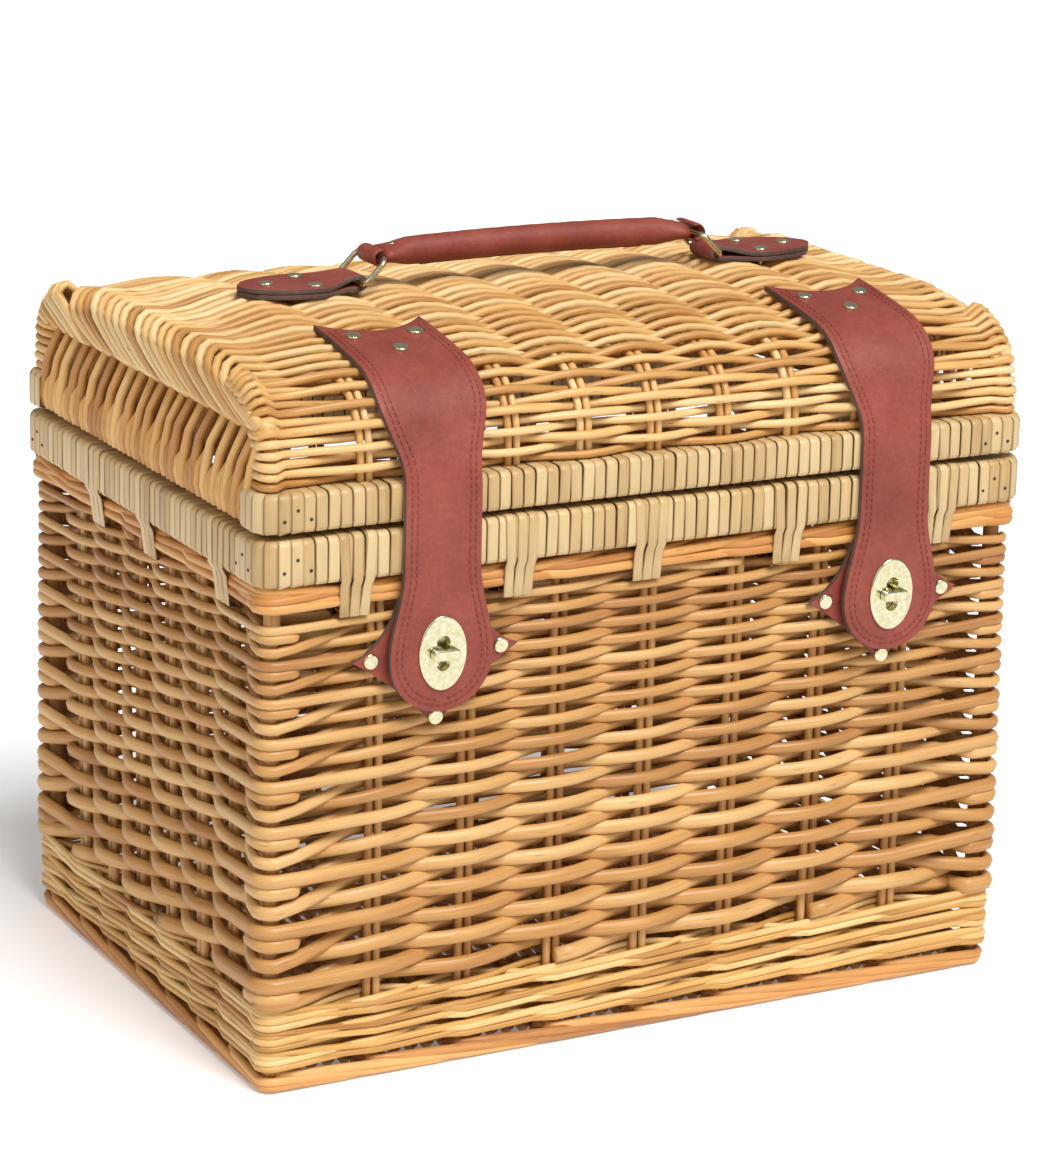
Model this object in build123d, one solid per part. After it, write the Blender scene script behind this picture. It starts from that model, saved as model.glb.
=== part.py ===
from build123d import *
from math import acos, asin, atan2, cos, degrees, hypot, pi, sin, sqrt
import os

# Willow picnic hamper with a hinged lid, two leather straps with turn locks and a rolled grip.
# Frame: origin under the middle of the hamper on the surface it stands on,
# +X along the length (to the right), -Y to the front, +Z up. Millimetres.

# ---- driving dimensions ----
rim_length = 440.0          # over the cane-wrapped rims
rim_depth = 310.0
body_length = 428.0         # over the woven walls
body_depth = 298.0
wall = 12.0                 # woven wall: two rods and a stake thick
body_rim_top = 284.5
rim_gap = 3.0               # between the closed lid's rim and the body's rim
body_rim_height = 23.5
lid_rim_height = 20.0

foot_height = 12.0
foot_spread = 1.5           # the foot border stands this far outside the wall
foot_width = 14.0
base_bottom = 3.0
base_thickness = 10.0
base_stick_radius = 3.0
wale_top = 32.0             # top of the bottom wale
top_wale_height = 12.0
layer_gap = 0.2             # between one woven band and the next

stake_radius = 2.3
stake_pair_half = 2.6       # the two stakes of a pair stand this far either side of its centre
stake_slack = 0.1           # radial room round a stake, stick or post in its channel
front_stake_pitch = 51.0
front_stake_count = 7
end_stake_pitch = 40.0
end_stake_count = 6
corner_post_radius = 4.5

lath = 5.0                  # thickness of a rim lath
cane = 1.0                  # thickness of the cane wrapping
corner_binding = 24.0       # length of the cane binding along each side of a corner
tie_width = 14.0
tie_drop = 20.0
front_ties = (-168.0, -79.0, -6.0, 76.0, 168.0)
end_ties = (-103.0, -12.0, 57.0)

lid_length = 428.0          # over the lid's woven ends, above its rim
lid_wall = 10.0
lid_crown = 370.0           # top of the lid's dome
shoulder_radius = 38.0      # front and rear edges of the lid
shoulder_rise = 12.5        # straight wall between the lid's rim and the shoulder
end_roll = 20.0             # rounding where the lid's top turns down into its ends
lid_stake_pitch = 40.0
lid_stake_count = 9
lid_stake_radius = 2.0
lid_stake_half = 2.3
lid_post_radius = 3.5
lid_rod_radius = 4.0
lid_post_rise = 12.0        # the lid's corner posts end this far above the shoulder's centre

leather = 3.0
strap_x = (-124.0, 136.0)
strap_neck = 41.0
strap_wide = 58.0
strap_end_radius = 28.0
strap_end_z = 219.0
strap_rim_clearance = 0.6
strap_tail_y = -70.0
strap_notch = 15.0
strap_lift = 0.1            # the strap's underside above the lid's weave
strap_flare = 20.0          # length over which the strap widens above its fold
strap_bow = 45.0            # the tongue starts to widen this far above its round end's centre
strap_rivet_spots = ((0.0, -108.0), (-17.0, -90.0), (17.0, -90.0))
flap_rise = 2.0             # a strap's folding line above the lid's rim
flap_gap = 2.0              # leather left out each side of a strap's folding line

patch_half = 45.0           # from the lock to a side point of its patch
patch_top_half = 20.0
patch_rise = 30.0           # patch above the lock
patch_low_z = 182.0         # the patch's lower point
patch_point_drop = 2.0      # the side points lie this far below the lock
patch_rivet_half = 35.5
patch_rivet_low_z = 186.5
rivet_into_wall = 3.3

lock_z = 221.0
lock_stem_radius = 2.4
lock_hole_slack = 0.6       # room round the stem where it passes the patch
lock_base_size = (14.0, 22.0)
lock_base_corner = 4.0
eyelet_size = (26.0, 38.0)
eyelet_thickness = 1.5
slot_width = 7.4
slot_height = 18.0
eyelet_collar = 0.6         # thickness of the eyelet's collar
collar_slack = 0.1
eyelet_edge = 0.9           # rounding of the eyelet's front edge
lock_base_gap = 0.4         # between the lock's base and the back of the strap
button_length = 14.5
button_width = 5.6
button_thickness = 4.0
button_corner = 2.2
button_edge = 1.0
button_gap = 0.5            # between the eyelet and the button

handle_x = 7.0              # the handle sits a little right of the middle
ring_foot_half = 106.0      # from the handle's middle to a ring's lower bar
ring_rise = 12.0
ring_lean = 12.0
ring_wire = 1.5
ring_half_width = 16.5
ring_corner = 4.0
tab_leather = 2.5
tab_length = 63.0
tab_half_width = 21.0
tab_fold_half = 11.0
tab_taper = 20.0            # length over which the two layers close together
tab_neck = 6.0              # the leaf is narrow this far out from the fold
tab_widest = 26.0
tab_lift = 0.3              # the tab's underside above the crown of the lid
tab_rivet_spots = ((26.0, -13.0), (26.0, 13.0), (48.0, 0.0))
grip_radius = 7.4
grip_bore = 5.0
grip_rise = 2.0
grip_loop_radius = 4.8
grip_loop_half = 11.0
grip_neck = 14.0            # length over which the round grip flattens into its loop
pivot_slack = 0.1
open_pivot_slack = 1.7      # the right-hand loop is roomy: its pivot is the open one

hinge_strap_x = (-130.0, 130.0)
hinge_strap_width = 34.0
hinge_leather = 2.5
hinge_gap = 4.0             # leather left out each side of the hinge line
hinge_leaf_height = 17.0
hinge_lift = 0.1            # between the rims and the hinge leather
hinge_fold_radius = 1.0
hinge_rivet_half = 9.0

rivet_shank = 1.5
rivet_head = 4.0
rivet_head_height = 1.4
rivet_lift = 0.05
past = 1.0                  # how far a cutting tool stands out past the part it cuts

# ---- sizes that follow ----
rim_x = rim_length / 2
rim_y = rim_depth / 2
body_x = body_length / 2
body_y = body_depth / 2
wall_inner_x = body_x - wall
wall_inner_y = body_y - wall
body_rim_bottom = body_rim_top - body_rim_height
core_bottom = body_rim_bottom - 1.0
lid_bottom = body_rim_top + rim_gap
lid_rim_top = lid_bottom + lid_rim_height
lid_x = lid_length / 2
end_rod_x = lid_x - lid_wall / 2 + 1.0
shoulder_z = lid_rim_top + shoulder_rise
shoulder_y = body_y - shoulder_radius
strap_inner_y = -(rim_y + strap_rim_clearance)
strap_outer_y = strap_inner_y - leather
flap_z = lid_rim_top + flap_rise
grip_half = ring_foot_half - ring_lean
fold_radius = ring_wire + pivot_slack + tab_leather
tab_bottom = lid_crown + tab_lift
ring_foot_z = tab_bottom + fold_radius
ring_top_z = ring_foot_z + ring_rise
hinge_y = rim_y + hinge_lift + hinge_leather / 2
hinge_z = body_rim_top + rim_gap / 2

front_stake_x = [(i - (front_stake_count - 1) / 2) * front_stake_pitch for i in range(front_stake_count)]
end_stake_y = [(i - (end_stake_count - 1) / 2) * end_stake_pitch for i in range(end_stake_count)]
lid_stake_x = [(i - (lid_stake_count - 1) / 2) * lid_stake_pitch for i in range(lid_stake_count)]
corners = [(sx * (body_x - wall / 2), sy * (body_y - wall / 2)) for sx in (-1, 1) for sy in (-1, 1)]


# ---- small helpers ----
def block(x0, x1, y0, y1, z0, z1):
    return Pos((x0 + x1) / 2, (y0 + y1) / 2, (z0 + z1) / 2) * Box(x1 - x0, y1 - y0, z1 - z0)


def rod_z(x, y, z0, z1, radius):
    return Pos(x, y, (z0 + z1) / 2) * Cylinder(radius, z1 - z0)


def rod_x(x0, x1, y, z, radius):
    return Pos((x0 + x1) / 2, y, z) * Rot(0, 90, 0) * Cylinder(radius, x1 - x0)


def rod_y(x, y0, y1, z, radius):
    return Pos(x, (y0 + y1) / 2, z) * Rot(90, 0, 0) * Cylinder(radius, y1 - y0)


def group(solids):
    return Compound(children=[s for shape in solids for s in shape.solids()])


def cut(shape, tools):
    for tool in tools:
        shape = shape - tool
    return shape


def upright(face, x, y, z=0.0):
    """A flat outline stood up facing the front, at a place."""
    return Pos(x, y, z) * (Plane.XZ * face)


def forward(face, depth):
    """Thickness given to an upright outline, from its plane towards the front."""
    return extrude(face, amount=depth, dir=(0, -1, 0))


def upward(face, height):
    return extrude(face, amount=height, dir=(0, 0, 1))


def save(name, shape):
    os.makedirs("parts", exist_ok=True)
    export_step(shape, "parts/" + name + ".step")


def four_bars(half_x, half_y, width, z0, z1):
    """Front and rear bars over the whole length, end bars between them."""
    front = block(-half_x, half_x, -half_y, -half_y + width, z0, z1)
    rear = block(-half_x, half_x, half_y - width, half_y, z0, z1)
    left = block(-half_x, -half_x + width, -half_y + width, half_y - width, z0, z1)
    right = block(half_x - width, half_x, -half_y + width, half_y - width, z0, z1)
    return [front, rear, left, right]


def rivet(depth, head=rivet_head):
    """A rivet along +Z: its head stands on z = 0 and its shank goes down to -depth."""
    dome = Pos(0, 0, rivet_lift + rivet_head_height / 2) * Cylinder(head, rivet_head_height)
    dome = fillet(dome.faces().sort_by(Axis.Z)[-1].edges(), rivet_head_height * 0.7)
    shank = Pos(0, 0, (rivet_lift - depth) / 2) * Cylinder(rivet_shank, depth + rivet_lift)
    return dome + shank


def rivet_hole(depth):
    return Pos(0, 0, (past - depth) / 2) * Cylinder(rivet_shank, depth + past)


# ---- the basket's base and walls ----
def foot_border():
    return group(four_bars(body_x + foot_spread, body_y + foot_spread, foot_width, 0, foot_height))


def base_parts():
    half_x = body_x + foot_spread - foot_width - layer_gap
    half_y = body_y + foot_spread - foot_width - layer_gap
    panel = block(-half_x, half_x, -half_y, half_y, base_bottom, base_bottom + base_thickness)
    middle = base_bottom + base_thickness / 2
    edge_y = half_y - 2 * base_stick_radius
    stick_y = [-edge_y] + end_stake_y + [edge_y]
    sticks = [rod_x(-half_x, half_x, y, middle, base_stick_radius) for y in stick_y]
    bores = [rod_x(-half_x, half_x, y, middle, base_stick_radius + stake_slack) for y in stick_y]
    return cut(panel, bores), group(sticks)


def stakes_between(z0, z1, slack=0.0):
    """Upright stake pairs of the front, the rear and the two ends."""
    radius = stake_radius + slack
    wall_y = body_y - wall / 2
    wall_x = body_x - wall / 2
    pair = (-stake_pair_half, stake_pair_half)
    front = [rod_z(x + d, -wall_y, z0, z1, radius) for x in front_stake_x for d in pair]
    rear = [rod_z(x + d, wall_y, z0, z1, radius) for x in front_stake_x for d in pair]
    left = [rod_z(-wall_x, y + d, z0, z1, radius) for y in end_stake_y for d in pair]
    right = [rod_z(wall_x, y + d, z0, z1, radius) for y in end_stake_y for d in pair]
    return front, rear, left, right


def posts_between(z0, z1, slack=0.0):
    return [rod_z(x, y, z0, z1, corner_post_radius + slack) for x, y in corners]


def woven_band(z0, z1):
    """One band of weaving round the four walls, with channels for stakes and corner posts."""
    bars = four_bars(body_x, body_y, wall, z0, z1)
    channels = stakes_between(z0, z1, stake_slack)
    posts = posts_between(z0, z1, stake_slack)
    front_posts = [p for p, c in zip(posts, corners) if c[1] < 0]
    rear_posts = [p for p, c in zip(posts, corners) if c[1] > 0]
    return [
        cut(bars[0], channels[0] + front_posts),
        cut(bars[1], channels[1] + rear_posts),
        cut(bars[2], channels[2]),
        cut(bars[3], channels[3]),
    ]


# ---- the body's rim ----
def rim_laths(z0, z1, ends):
    """Outer and inner laths of a rim; the ends have laths only where asked."""
    inner_y = wall_inner_y - lath
    outer = []
    inner = []
    for s in (-1, 1):
        y0, y1 = sorted((s * body_y, s * (rim_y - cane)))
        outer.append(block(-rim_x + cane, rim_x - cane, y0, y1, z0, z1))
        y0, y1 = sorted((s * inner_y, s * wall_inner_y))
        inner.append(block(-wall_inner_x, wall_inner_x, y0, y1, z0, z1))
    if ends:
        for s in (-1, 1):
            x0, x1 = sorted((s * (rim_x - cane), s * body_x))
            outer.append(block(x0, x1, -body_y, body_y, z0, z1))
            x0, x1 = sorted((s * wall_inner_x, s * (wall_inner_x - lath)))
            inner.append(block(x0, x1, -inner_y, inner_y, z0, z1))
    return outer, inner


def wrap_along_x(side, x0, x1, z0, z1, inner_cane_y):
    """Cane skin round a front or rear rim, open below where the wall comes up through it."""
    y_out, y_in = rim_y, inner_cane_y
    hollow = block(x0, x1, y_in + cane, y_out - cane, z0 + cane, z1 - cane)
    skin = block(x0, x1, y_in, y_out, z0, z1) - hollow
    skin = skin - block(x0, x1, wall_inner_y, body_y, z0, z0 + cane)
    return skin if side > 0 else skin.mirror(Plane.XZ)


def wrap_along_y(side, y0, y1, z0, z1):
    x_out, x_in = rim_x, wall_inner_x - lath - cane
    hollow = block(x_in + cane, x_out - cane, y0, y1, z0 + cane, z1 - cane)
    skin = block(x_in, x_out, y0, y1, z0, z1) - hollow
    skin = skin - block(wall_inner_x, body_x, y0, y1, z0, z0 + cane)
    return skin if side > 0 else skin.mirror(Plane.YZ)


def body_rim():
    z0, z1 = body_rim_bottom + cane, body_rim_top - cane
    outer, inner = rim_laths(z0, z1, True)
    core = four_bars(body_x, body_y, wall, core_bottom, z1)
    inner_cane_y = wall_inner_y - lath - cane
    long_x = rim_x - corner_binding
    long_y = rim_y - corner_binding
    wrap = [wrap_along_x(s, -long_x, long_x, body_rim_bottom, body_rim_top, inner_cane_y) for s in (-1, 1)]
    wrap += [wrap_along_y(s, -long_y, long_y, body_rim_bottom, body_rim_top) for s in (-1, 1)]
    return outer, inner, core, wrap


def corner_sleeves(z0, z1):
    """Cane bound over each corner of the body's rim: a box skin open towards both sides."""
    x0, y0 = rim_x - corner_binding, rim_y - corner_binding
    skin = block(x0, rim_x, y0, rim_y, z0, z1)
    skin = skin - block(x0, rim_x - cane, y0, rim_y - cane, z0 + cane, z1 - cane)
    skin = skin - block(x0, body_x, y0, body_y, z0, z0 + cane)
    return [skin.mirror(Plane.YZ).mirror(Plane.XZ), skin.mirror(Plane.YZ), skin.mirror(Plane.XZ), skin]


def rim_ties():
    """Cane strips that tie the rim down over the top wale, on the outside of each wall."""
    z1 = body_rim_bottom
    z0 = z1 - tie_drop
    ties = []
    for x in front_ties:
        for side in (-1, 1):
            y0, y1 = sorted((side * body_y, side * (body_y + cane)))
            ties.append(block(x - tie_width / 2, x + tie_width / 2, y0, y1, z0, z1))
    for y in end_ties:
        for side in (-1, 1):
            x0, x1 = sorted((side * body_x, side * (body_x + cane)))
            ties.append(block(x0, x1, y - tie_width / 2, y + tie_width / 2, z0, z1))
    return ties


# ---- the lid ----
def crown_arc(inset=0.0):
    """Centre height, radius and edge point of the lid's dome, tangent to both shoulders."""
    # With edge angle a: y = shoulder_y + r sin a, z = shoulder_z + r cos a, and the dome
    # arc of radius R about (0, crown - R) meets it there, so R follows from the crown.
    low, high = 0.01, 0.6
    for _ in range(60):
        a = (low + high) / 2
        big = shoulder_radius + shoulder_y / sin(a)
        top = shoulder_z + shoulder_radius * cos(a) + big * (1 - cos(a))
        if top < lid_crown:
            low = a
        else:
            high = a
    return lid_crown - big, big - inset, a


def lid_section(inset, z_low):
    """The lid's outline across its depth, set in from the outside by inset."""
    centre_z, big, a = crown_arc(inset)
    radius = shoulder_radius - inset
    wall_y = body_y - inset
    edge = (shoulder_y + radius * sin(a), shoulder_z + radius * cos(a))
    mid_a = (pi / 2 + a) / 2
    bend = (shoulder_y + radius * sin(mid_a), shoulder_z + radius * cos(mid_a))
    right = Line((wall_y, z_low), (wall_y, shoulder_z))
    right_arc = ThreePointArc((wall_y, shoulder_z), bend, edge)
    dome = ThreePointArc(edge, (0, centre_z + big), (-edge[0], edge[1]))
    left_arc = ThreePointArc((-edge[0], edge[1]), (-bend[0], bend[1]), (-wall_y, shoulder_z))
    left = Line((-wall_y, shoulder_z), (-wall_y, z_low))
    base = Line((-wall_y, z_low), (wall_y, z_low))
    return make_face(Curve() + [right, right_arc, dome, left_arc, left, base])


def lid_solid(inset, z_low):
    """The section run along the length, with its top edges rolled down at both ends."""
    half = lid_x - inset
    run = extrude(Plane.YZ * lid_section(inset, z_low), amount=half, both=True)
    top = lid_crown + past - inset
    roll = end_roll - inset
    roll_z = lid_crown - end_roll
    drop = roll * (1 - sqrt(0.5))
    side = [
        Line((half, z_low), (half, roll_z)),
        ThreePointArc((half, roll_z), (half - drop, roll_z + roll - drop), (half - roll, roll_z + roll)),
        Line((half - roll, roll_z + roll), (half - roll, top)),
        Line((half - roll, top), (-half + roll, top)),
        Line((-half + roll, top), (-half + roll, roll_z + roll)),
        ThreePointArc((-half + roll, roll_z + roll), (-half + drop, roll_z + roll - drop), (-half, roll_z)),
        Line((-half, roll_z), (-half, z_low)),
        Line((-half, z_low), (half, z_low)),
    ]
    trim = extrude(Plane.XZ * make_face(Curve() + side), amount=rim_depth, both=True)
    return run & trim


def lid_stake_path(x):
    """Middle line of one lid stake, from the front rim over the dome to the rear rim."""
    inset = lid_wall / 2
    centre_z, big, a = crown_arc(inset)
    radius = shoulder_radius - inset
    wall_y = body_y - inset
    mid_a = (pi / 2 + a) / 2
    edge = (shoulder_y + radius * sin(a), shoulder_z + radius * cos(a))
    bend = (shoulder_y + radius * sin(mid_a), shoulder_z + radius * cos(mid_a))
    return Wire([
        Line((x, -wall_y, lid_rim_top), (x, -wall_y, shoulder_z)),
        ThreePointArc((x, -wall_y, shoulder_z), (x, -bend[0], bend[1]), (x, -edge[0], edge[1])),
        ThreePointArc((x, -edge[0], edge[1]), (x, 0, centre_z + big), (x, edge[0], edge[1])),
        ThreePointArc((x, edge[0], edge[1]), (x, bend[0], bend[1]), (x, wall_y, shoulder_z)),
        Line((x, wall_y, shoulder_z), (x, wall_y, lid_rim_top)),
    ])


def lid_stake(x, radius):
    start = Plane(origin=(x, -(body_y - lid_wall / 2), lid_rim_top), z_dir=(0, 0, 1))
    return sweep(start * Circle(radius), path=lid_stake_path(x))


def lid_parts():
    shell = lid_solid(0.0, lid_rim_top) - lid_solid(lid_wall, lid_rim_top - past)
    far = rim_length
    split_x = lid_x - lid_wall
    split_y = shoulder_y
    low, high = lid_rim_top - past, lid_crown + past
    middle = block(-split_x, split_x, -split_y, split_y, low, high)
    front = block(-split_x, split_x, -far, -split_y, low, high)
    rear = block(-split_x, split_x, split_y, far, low, high)
    lefts = block(-far, -split_x, -far, far, low, high)
    rights = block(split_x, far, -far, far, low, high)
    pair = (-lid_stake_half, lid_stake_half)
    at = [x + d for x in lid_stake_x for d in pair]
    stakes = [lid_stake(x, lid_stake_radius) for x in at]
    channels = [lid_stake(x, lid_stake_radius + stake_slack) for x in at]
    top_weave = cut(shell & middle, channels)
    front_weave = cut(shell & front, channels)
    rear_weave = cut(shell & rear, channels)
    return top_weave, front_weave, rear_weave, shell & lefts, shell & rights, stakes


def lid_post(sx, sy, slack=0.0):
    x = sx * (lid_x - lid_wall / 2)
    y = sy * (body_y - lid_wall / 2)
    return rod_z(x, y, lid_rim_top, shoulder_z + lid_post_rise, lid_post_radius + slack)


def lid_end(shape, side):
    """An end wall carried down round its rim rod, with room for the corner posts."""
    low_y = rim_y - corner_binding
    x0, x1 = sorted((side * (lid_x - lid_wall - 1.0), side * (rim_x - cane)))
    skirt = block(x0, x1, -low_y, low_y, lid_bottom, lid_rim_top)
    middle = (lid_bottom + lid_rim_top) / 2
    rod_bore = rod_y(side * end_rod_x, -low_y, low_y, middle, lid_rod_radius + stake_slack)
    shape = shape + skirt - rod_bore
    return cut(shape, [lid_post(side, sy, stake_slack) for sy in (-1, 1)])


def lid_rim():
    z0, z1 = lid_bottom + cane, lid_rim_top - cane
    outer, inner = rim_laths(z0, z1, False)
    core = []
    for s in (-1, 1):
        y0, y1 = sorted((s * wall_inner_y, s * body_y))
        core.append(block(-body_x, body_x, y0, y1, z0, z1))
    low = wall_inner_y - lath - cane
    long_x = rim_x - corner_binding
    wrap = []
    sleeves = []
    for s in (-1, 1):
        for x0, x1, keep in ((-long_x, long_x, wrap), (-rim_x, -long_x, sleeves), (long_x, rim_x, sleeves)):
            skin = block(x0, x1, low, rim_y, lid_bottom, lid_rim_top)
            skin = skin - block(-rim_x + cane, rim_x - cane, low + cane, rim_y - cane, z0, z1)
            keep.append(skin if s > 0 else skin.mirror(Plane.XZ))
    half = rim_y - corner_binding
    middle = (lid_bottom + lid_rim_top) / 2
    rods = [rod_y(s * end_rod_x, -half, half, middle, lid_rod_radius) for s in (-1, 1)]
    return outer, inner, core, wrap, sleeves, rods


# ---- leather straps ----
def upper_ribbon():
    """Section of the strap's upper part: along the dome, over the shoulder and down to the fold."""
    centre_z, big, a = crown_arc()
    skins = []
    for lift in (strap_lift, strap_lift + leather):
        radius = shoulder_radius + lift
        tail_a = asin(-strap_tail_y / (big + lift))
        # The straight run to the folding line leaves the shoulder where it is tangent to it.
        foot_y = -(strap_inner_y if lift == strap_lift else strap_outer_y)
        foot_z = flap_z + flap_gap
        dy, dz = foot_y - shoulder_y, foot_z - shoulder_z
        turn = atan2(dy, dz) - acos(min(1.0, radius / hypot(dy, dz)))
        leave = (shoulder_y + radius * sin(turn), shoulder_z + radius * cos(turn))
        mid = (turn + a) / 2
        skins.append({
            "tail": (-(big + lift) * sin(tail_a), centre_z + (big + lift) * cos(tail_a)),
            "dome": (-(big + lift) * sin((tail_a + a) / 2), centre_z + (big + lift) * cos((tail_a + a) / 2)),
            "edge": (-(shoulder_y + radius * sin(a)), shoulder_z + radius * cos(a)),
            "bend": (-(shoulder_y + radius * sin(mid)), shoulder_z + radius * cos(mid)),
            "leave": (-leave[0], leave[1]),
            "foot": (-foot_y, foot_z),
        })
    under, over = skins
    lines = [
        ThreePointArc(under["tail"], under["dome"], under["edge"]),
        ThreePointArc(under["edge"], under["bend"], under["leave"]),
        Line(under["leave"], under["foot"]),
        Line(under["foot"], over["foot"]),
        Line(over["foot"], over["leave"]),
        ThreePointArc(over["leave"], over["bend"], over["edge"]),
        ThreePointArc(over["edge"], over["dome"], over["tail"]),
        Line(over["tail"], under["tail"]),
    ]
    return make_face(Curve() + lines)


def strap_upper(x):
    ribbon = extrude(Plane.YZ.offset(x - strap_wide / 2) * upper_ribbon(), amount=strap_wide, dir=(1, 0, 0))
    wide, neck = strap_wide / 2, strap_neck / 2
    top = lid_crown + strap_wide
    flare_z = shoulder_z + shoulder_radius * 0.75
    bulge = strap_flare * 0.6
    low = flap_z - past
    outline = make_face(Curve() + [
        Line((-neck, low), (neck, low)),
        Line((neck, low), (neck, flap_z)),
        Bezier((neck, flap_z), (neck, flap_z + strap_flare), (wide, flare_z - bulge), (wide, flare_z)),
        Line((wide, flare_z), (wide, top)),
        Line((wide, top), (-wide, top)),
        Line((-wide, top), (-wide, flare_z)),
        Bezier((-wide, flare_z), (-wide, flare_z - bulge), (-neck, flap_z + strap_flare), (-neck, flap_z)),
        Line((-neck, flap_z), (-neck, low)),
    ])
    shaped = ribbon & extrude(upright(outline, x, 0), amount=rim_depth, both=True)
    notch = make_face(Curve() + [
        Line((wide, strap_tail_y + past), (-wide, strap_tail_y + past)),
        ThreePointArc((-wide, strap_tail_y + past), (0, strap_tail_y - strap_notch),
                      (wide, strap_tail_y + past)),
    ])
    return shaped - upward(Pos(x, 0, lid_rim_top) * notch, rim_depth)


def slot_face(width, height):
    return SlotOverall(height, width, rotation=90)


def strap_tongue(x):
    neck, end = strap_neck / 2, strap_end_radius
    top = flap_z - flap_gap
    bow_z = strap_end_z + strap_bow
    neck_pull, end_pull = strap_bow * 0.4, strap_bow * 0.45
    outline = make_face(Curve() + [
        Line((-neck, top), (neck, top)),
        Line((neck, top), (neck, bow_z)),
        Bezier((neck, bow_z), (neck, bow_z - neck_pull), (end, strap_end_z + end_pull), (end, strap_end_z)),
        ThreePointArc((end, strap_end_z), (0, strap_end_z - end), (-end, strap_end_z)),
        Bezier((-end, strap_end_z), (-end, strap_end_z + end_pull), (-neck, bow_z - neck_pull),
               (-neck, bow_z)),
        Line((-neck, bow_z), (-neck, top)),
    ])
    plate = forward(upright(outline, x, strap_inner_y), leather)
    grow = 2 * (eyelet_collar + collar_slack)
    opening = upright(slot_face(slot_width + grow, slot_height + grow), x, strap_inner_y + past, lock_z)
    return plate - forward(opening, leather + 2 * past)


def lock_eyelet(x):
    """Oval plate on the strap with a collar through the leather round the button's slot."""
    oval = upright(Ellipse(eyelet_size[0] / 2, eyelet_size[1] / 2), x, strap_outer_y, lock_z)
    plate = forward(oval, eyelet_thickness)
    plate = fillet(plate.faces().sort_by(Axis.Y)[0].edges(), eyelet_edge)
    collar_face = slot_face(slot_width + 2 * eyelet_collar, slot_height + 2 * eyelet_collar)
    collar = forward(upright(collar_face, x, strap_inner_y, lock_z), leather)
    slot = upright(slot_face(slot_width, slot_height), x, strap_inner_y + past, lock_z)
    through = forward(slot, leather + eyelet_thickness + 2 * past)
    return plate + collar - through


def latch_patch(x):
    """Three-pointed leather patch on the front wall that carries the turn lock's base."""
    side, top_half, top_z = patch_half, patch_top_half, lock_z + patch_rise
    point_z, low_z = lock_z - patch_point_drop, patch_low_z
    upper_bend = ((top_half + side) / 2 - 4.0, point_z + 12.0)
    lower_bend = (side / 2 + 1.5, point_z - 14.5)
    outline = make_face(Curve() + [
        Line((-top_half, top_z), (top_half, top_z)),
        ThreePointArc((top_half, top_z), upper_bend, (side, point_z)),
        ThreePointArc((side, point_z), lower_bend, (0, low_z)),
        ThreePointArc((0, low_z), (-lower_bend[0], lower_bend[1]), (-side, point_z)),
        ThreePointArc((-side, point_z), (-upper_bend[0], upper_bend[1]), (-top_half, top_z)),
    ])
    plate = forward(upright(outline, x, -body_y), leather)
    tools = [at * rivet_hole(leather + past) for at in patch_rivet_places(x)]
    hole_radius = lock_stem_radius + lock_hole_slack
    tools.append(rod_y(x, -body_y - leather - past, -body_y + past, lock_z, hole_radius))
    return cut(plate, tools)


def patch_rivet_places(x):
    """Rivets near the patch's three points, facing the front."""
    side_z = lock_z - patch_point_drop
    spots = [(x - patch_rivet_half, side_z), (x + patch_rivet_half, side_z), (x, patch_rivet_low_z)]
    return [Pos(px, -body_y - leather, pz) * Rot(90, 0, 0) for px, pz in spots]


def turn_lock_base(x):
    w, h = lock_base_size
    y0, y1 = strap_inner_y + lock_base_gap, -body_y - leather
    shape = block(x - w / 2, x + w / 2, y0, y1, lock_z - h / 2, lock_z + h / 2)
    shape = fillet(shape.edges().filter_by(Axis.Y), lock_base_corner)
    return shape - rod_y(x, y0 - past, y1 + past, lock_z, lock_stem_radius + rivet_lift)


def turn_button(x):
    y_in = strap_outer_y - eyelet_thickness - button_gap
    bar = block(x - button_length / 2, x + button_length / 2, y_in - button_thickness, y_in,
                lock_z - button_width / 2, lock_z + button_width / 2)
    bar = fillet(bar.edges().filter_by(Axis.Y), button_corner)
    bar = fillet(bar.faces().sort_by(Axis.Y)[0].edges(), button_edge)
    return bar + rod_y(x, y_in - button_edge, -body_y - leather - 0.3, lock_z, lock_stem_radius)


# ---- places of the rivets on the lid's dome ----
def on_dome(x, y, lift):
    """A place on the lid's dome, +Z along the outward normal, lift above the weave."""
    centre_z, big, a = crown_arc()
    tilt = asin(y / big)
    height = centre_z + (big + lift) * cos(tilt)
    return Pos(x, (big + lift) * sin(tilt), height) * Rot(-degrees(tilt), 0, 0)


def strap_rivet_places():
    places = []
    for x in strap_x:
        for dx, y in strap_rivet_spots:
            places.append(on_dome(x + dx, y, strap_lift + leather))
    return places


# ---- carrying handle ----
def ring_feet():
    return [(-1, handle_x - ring_foot_half), (1, handle_x + ring_foot_half)]


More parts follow.
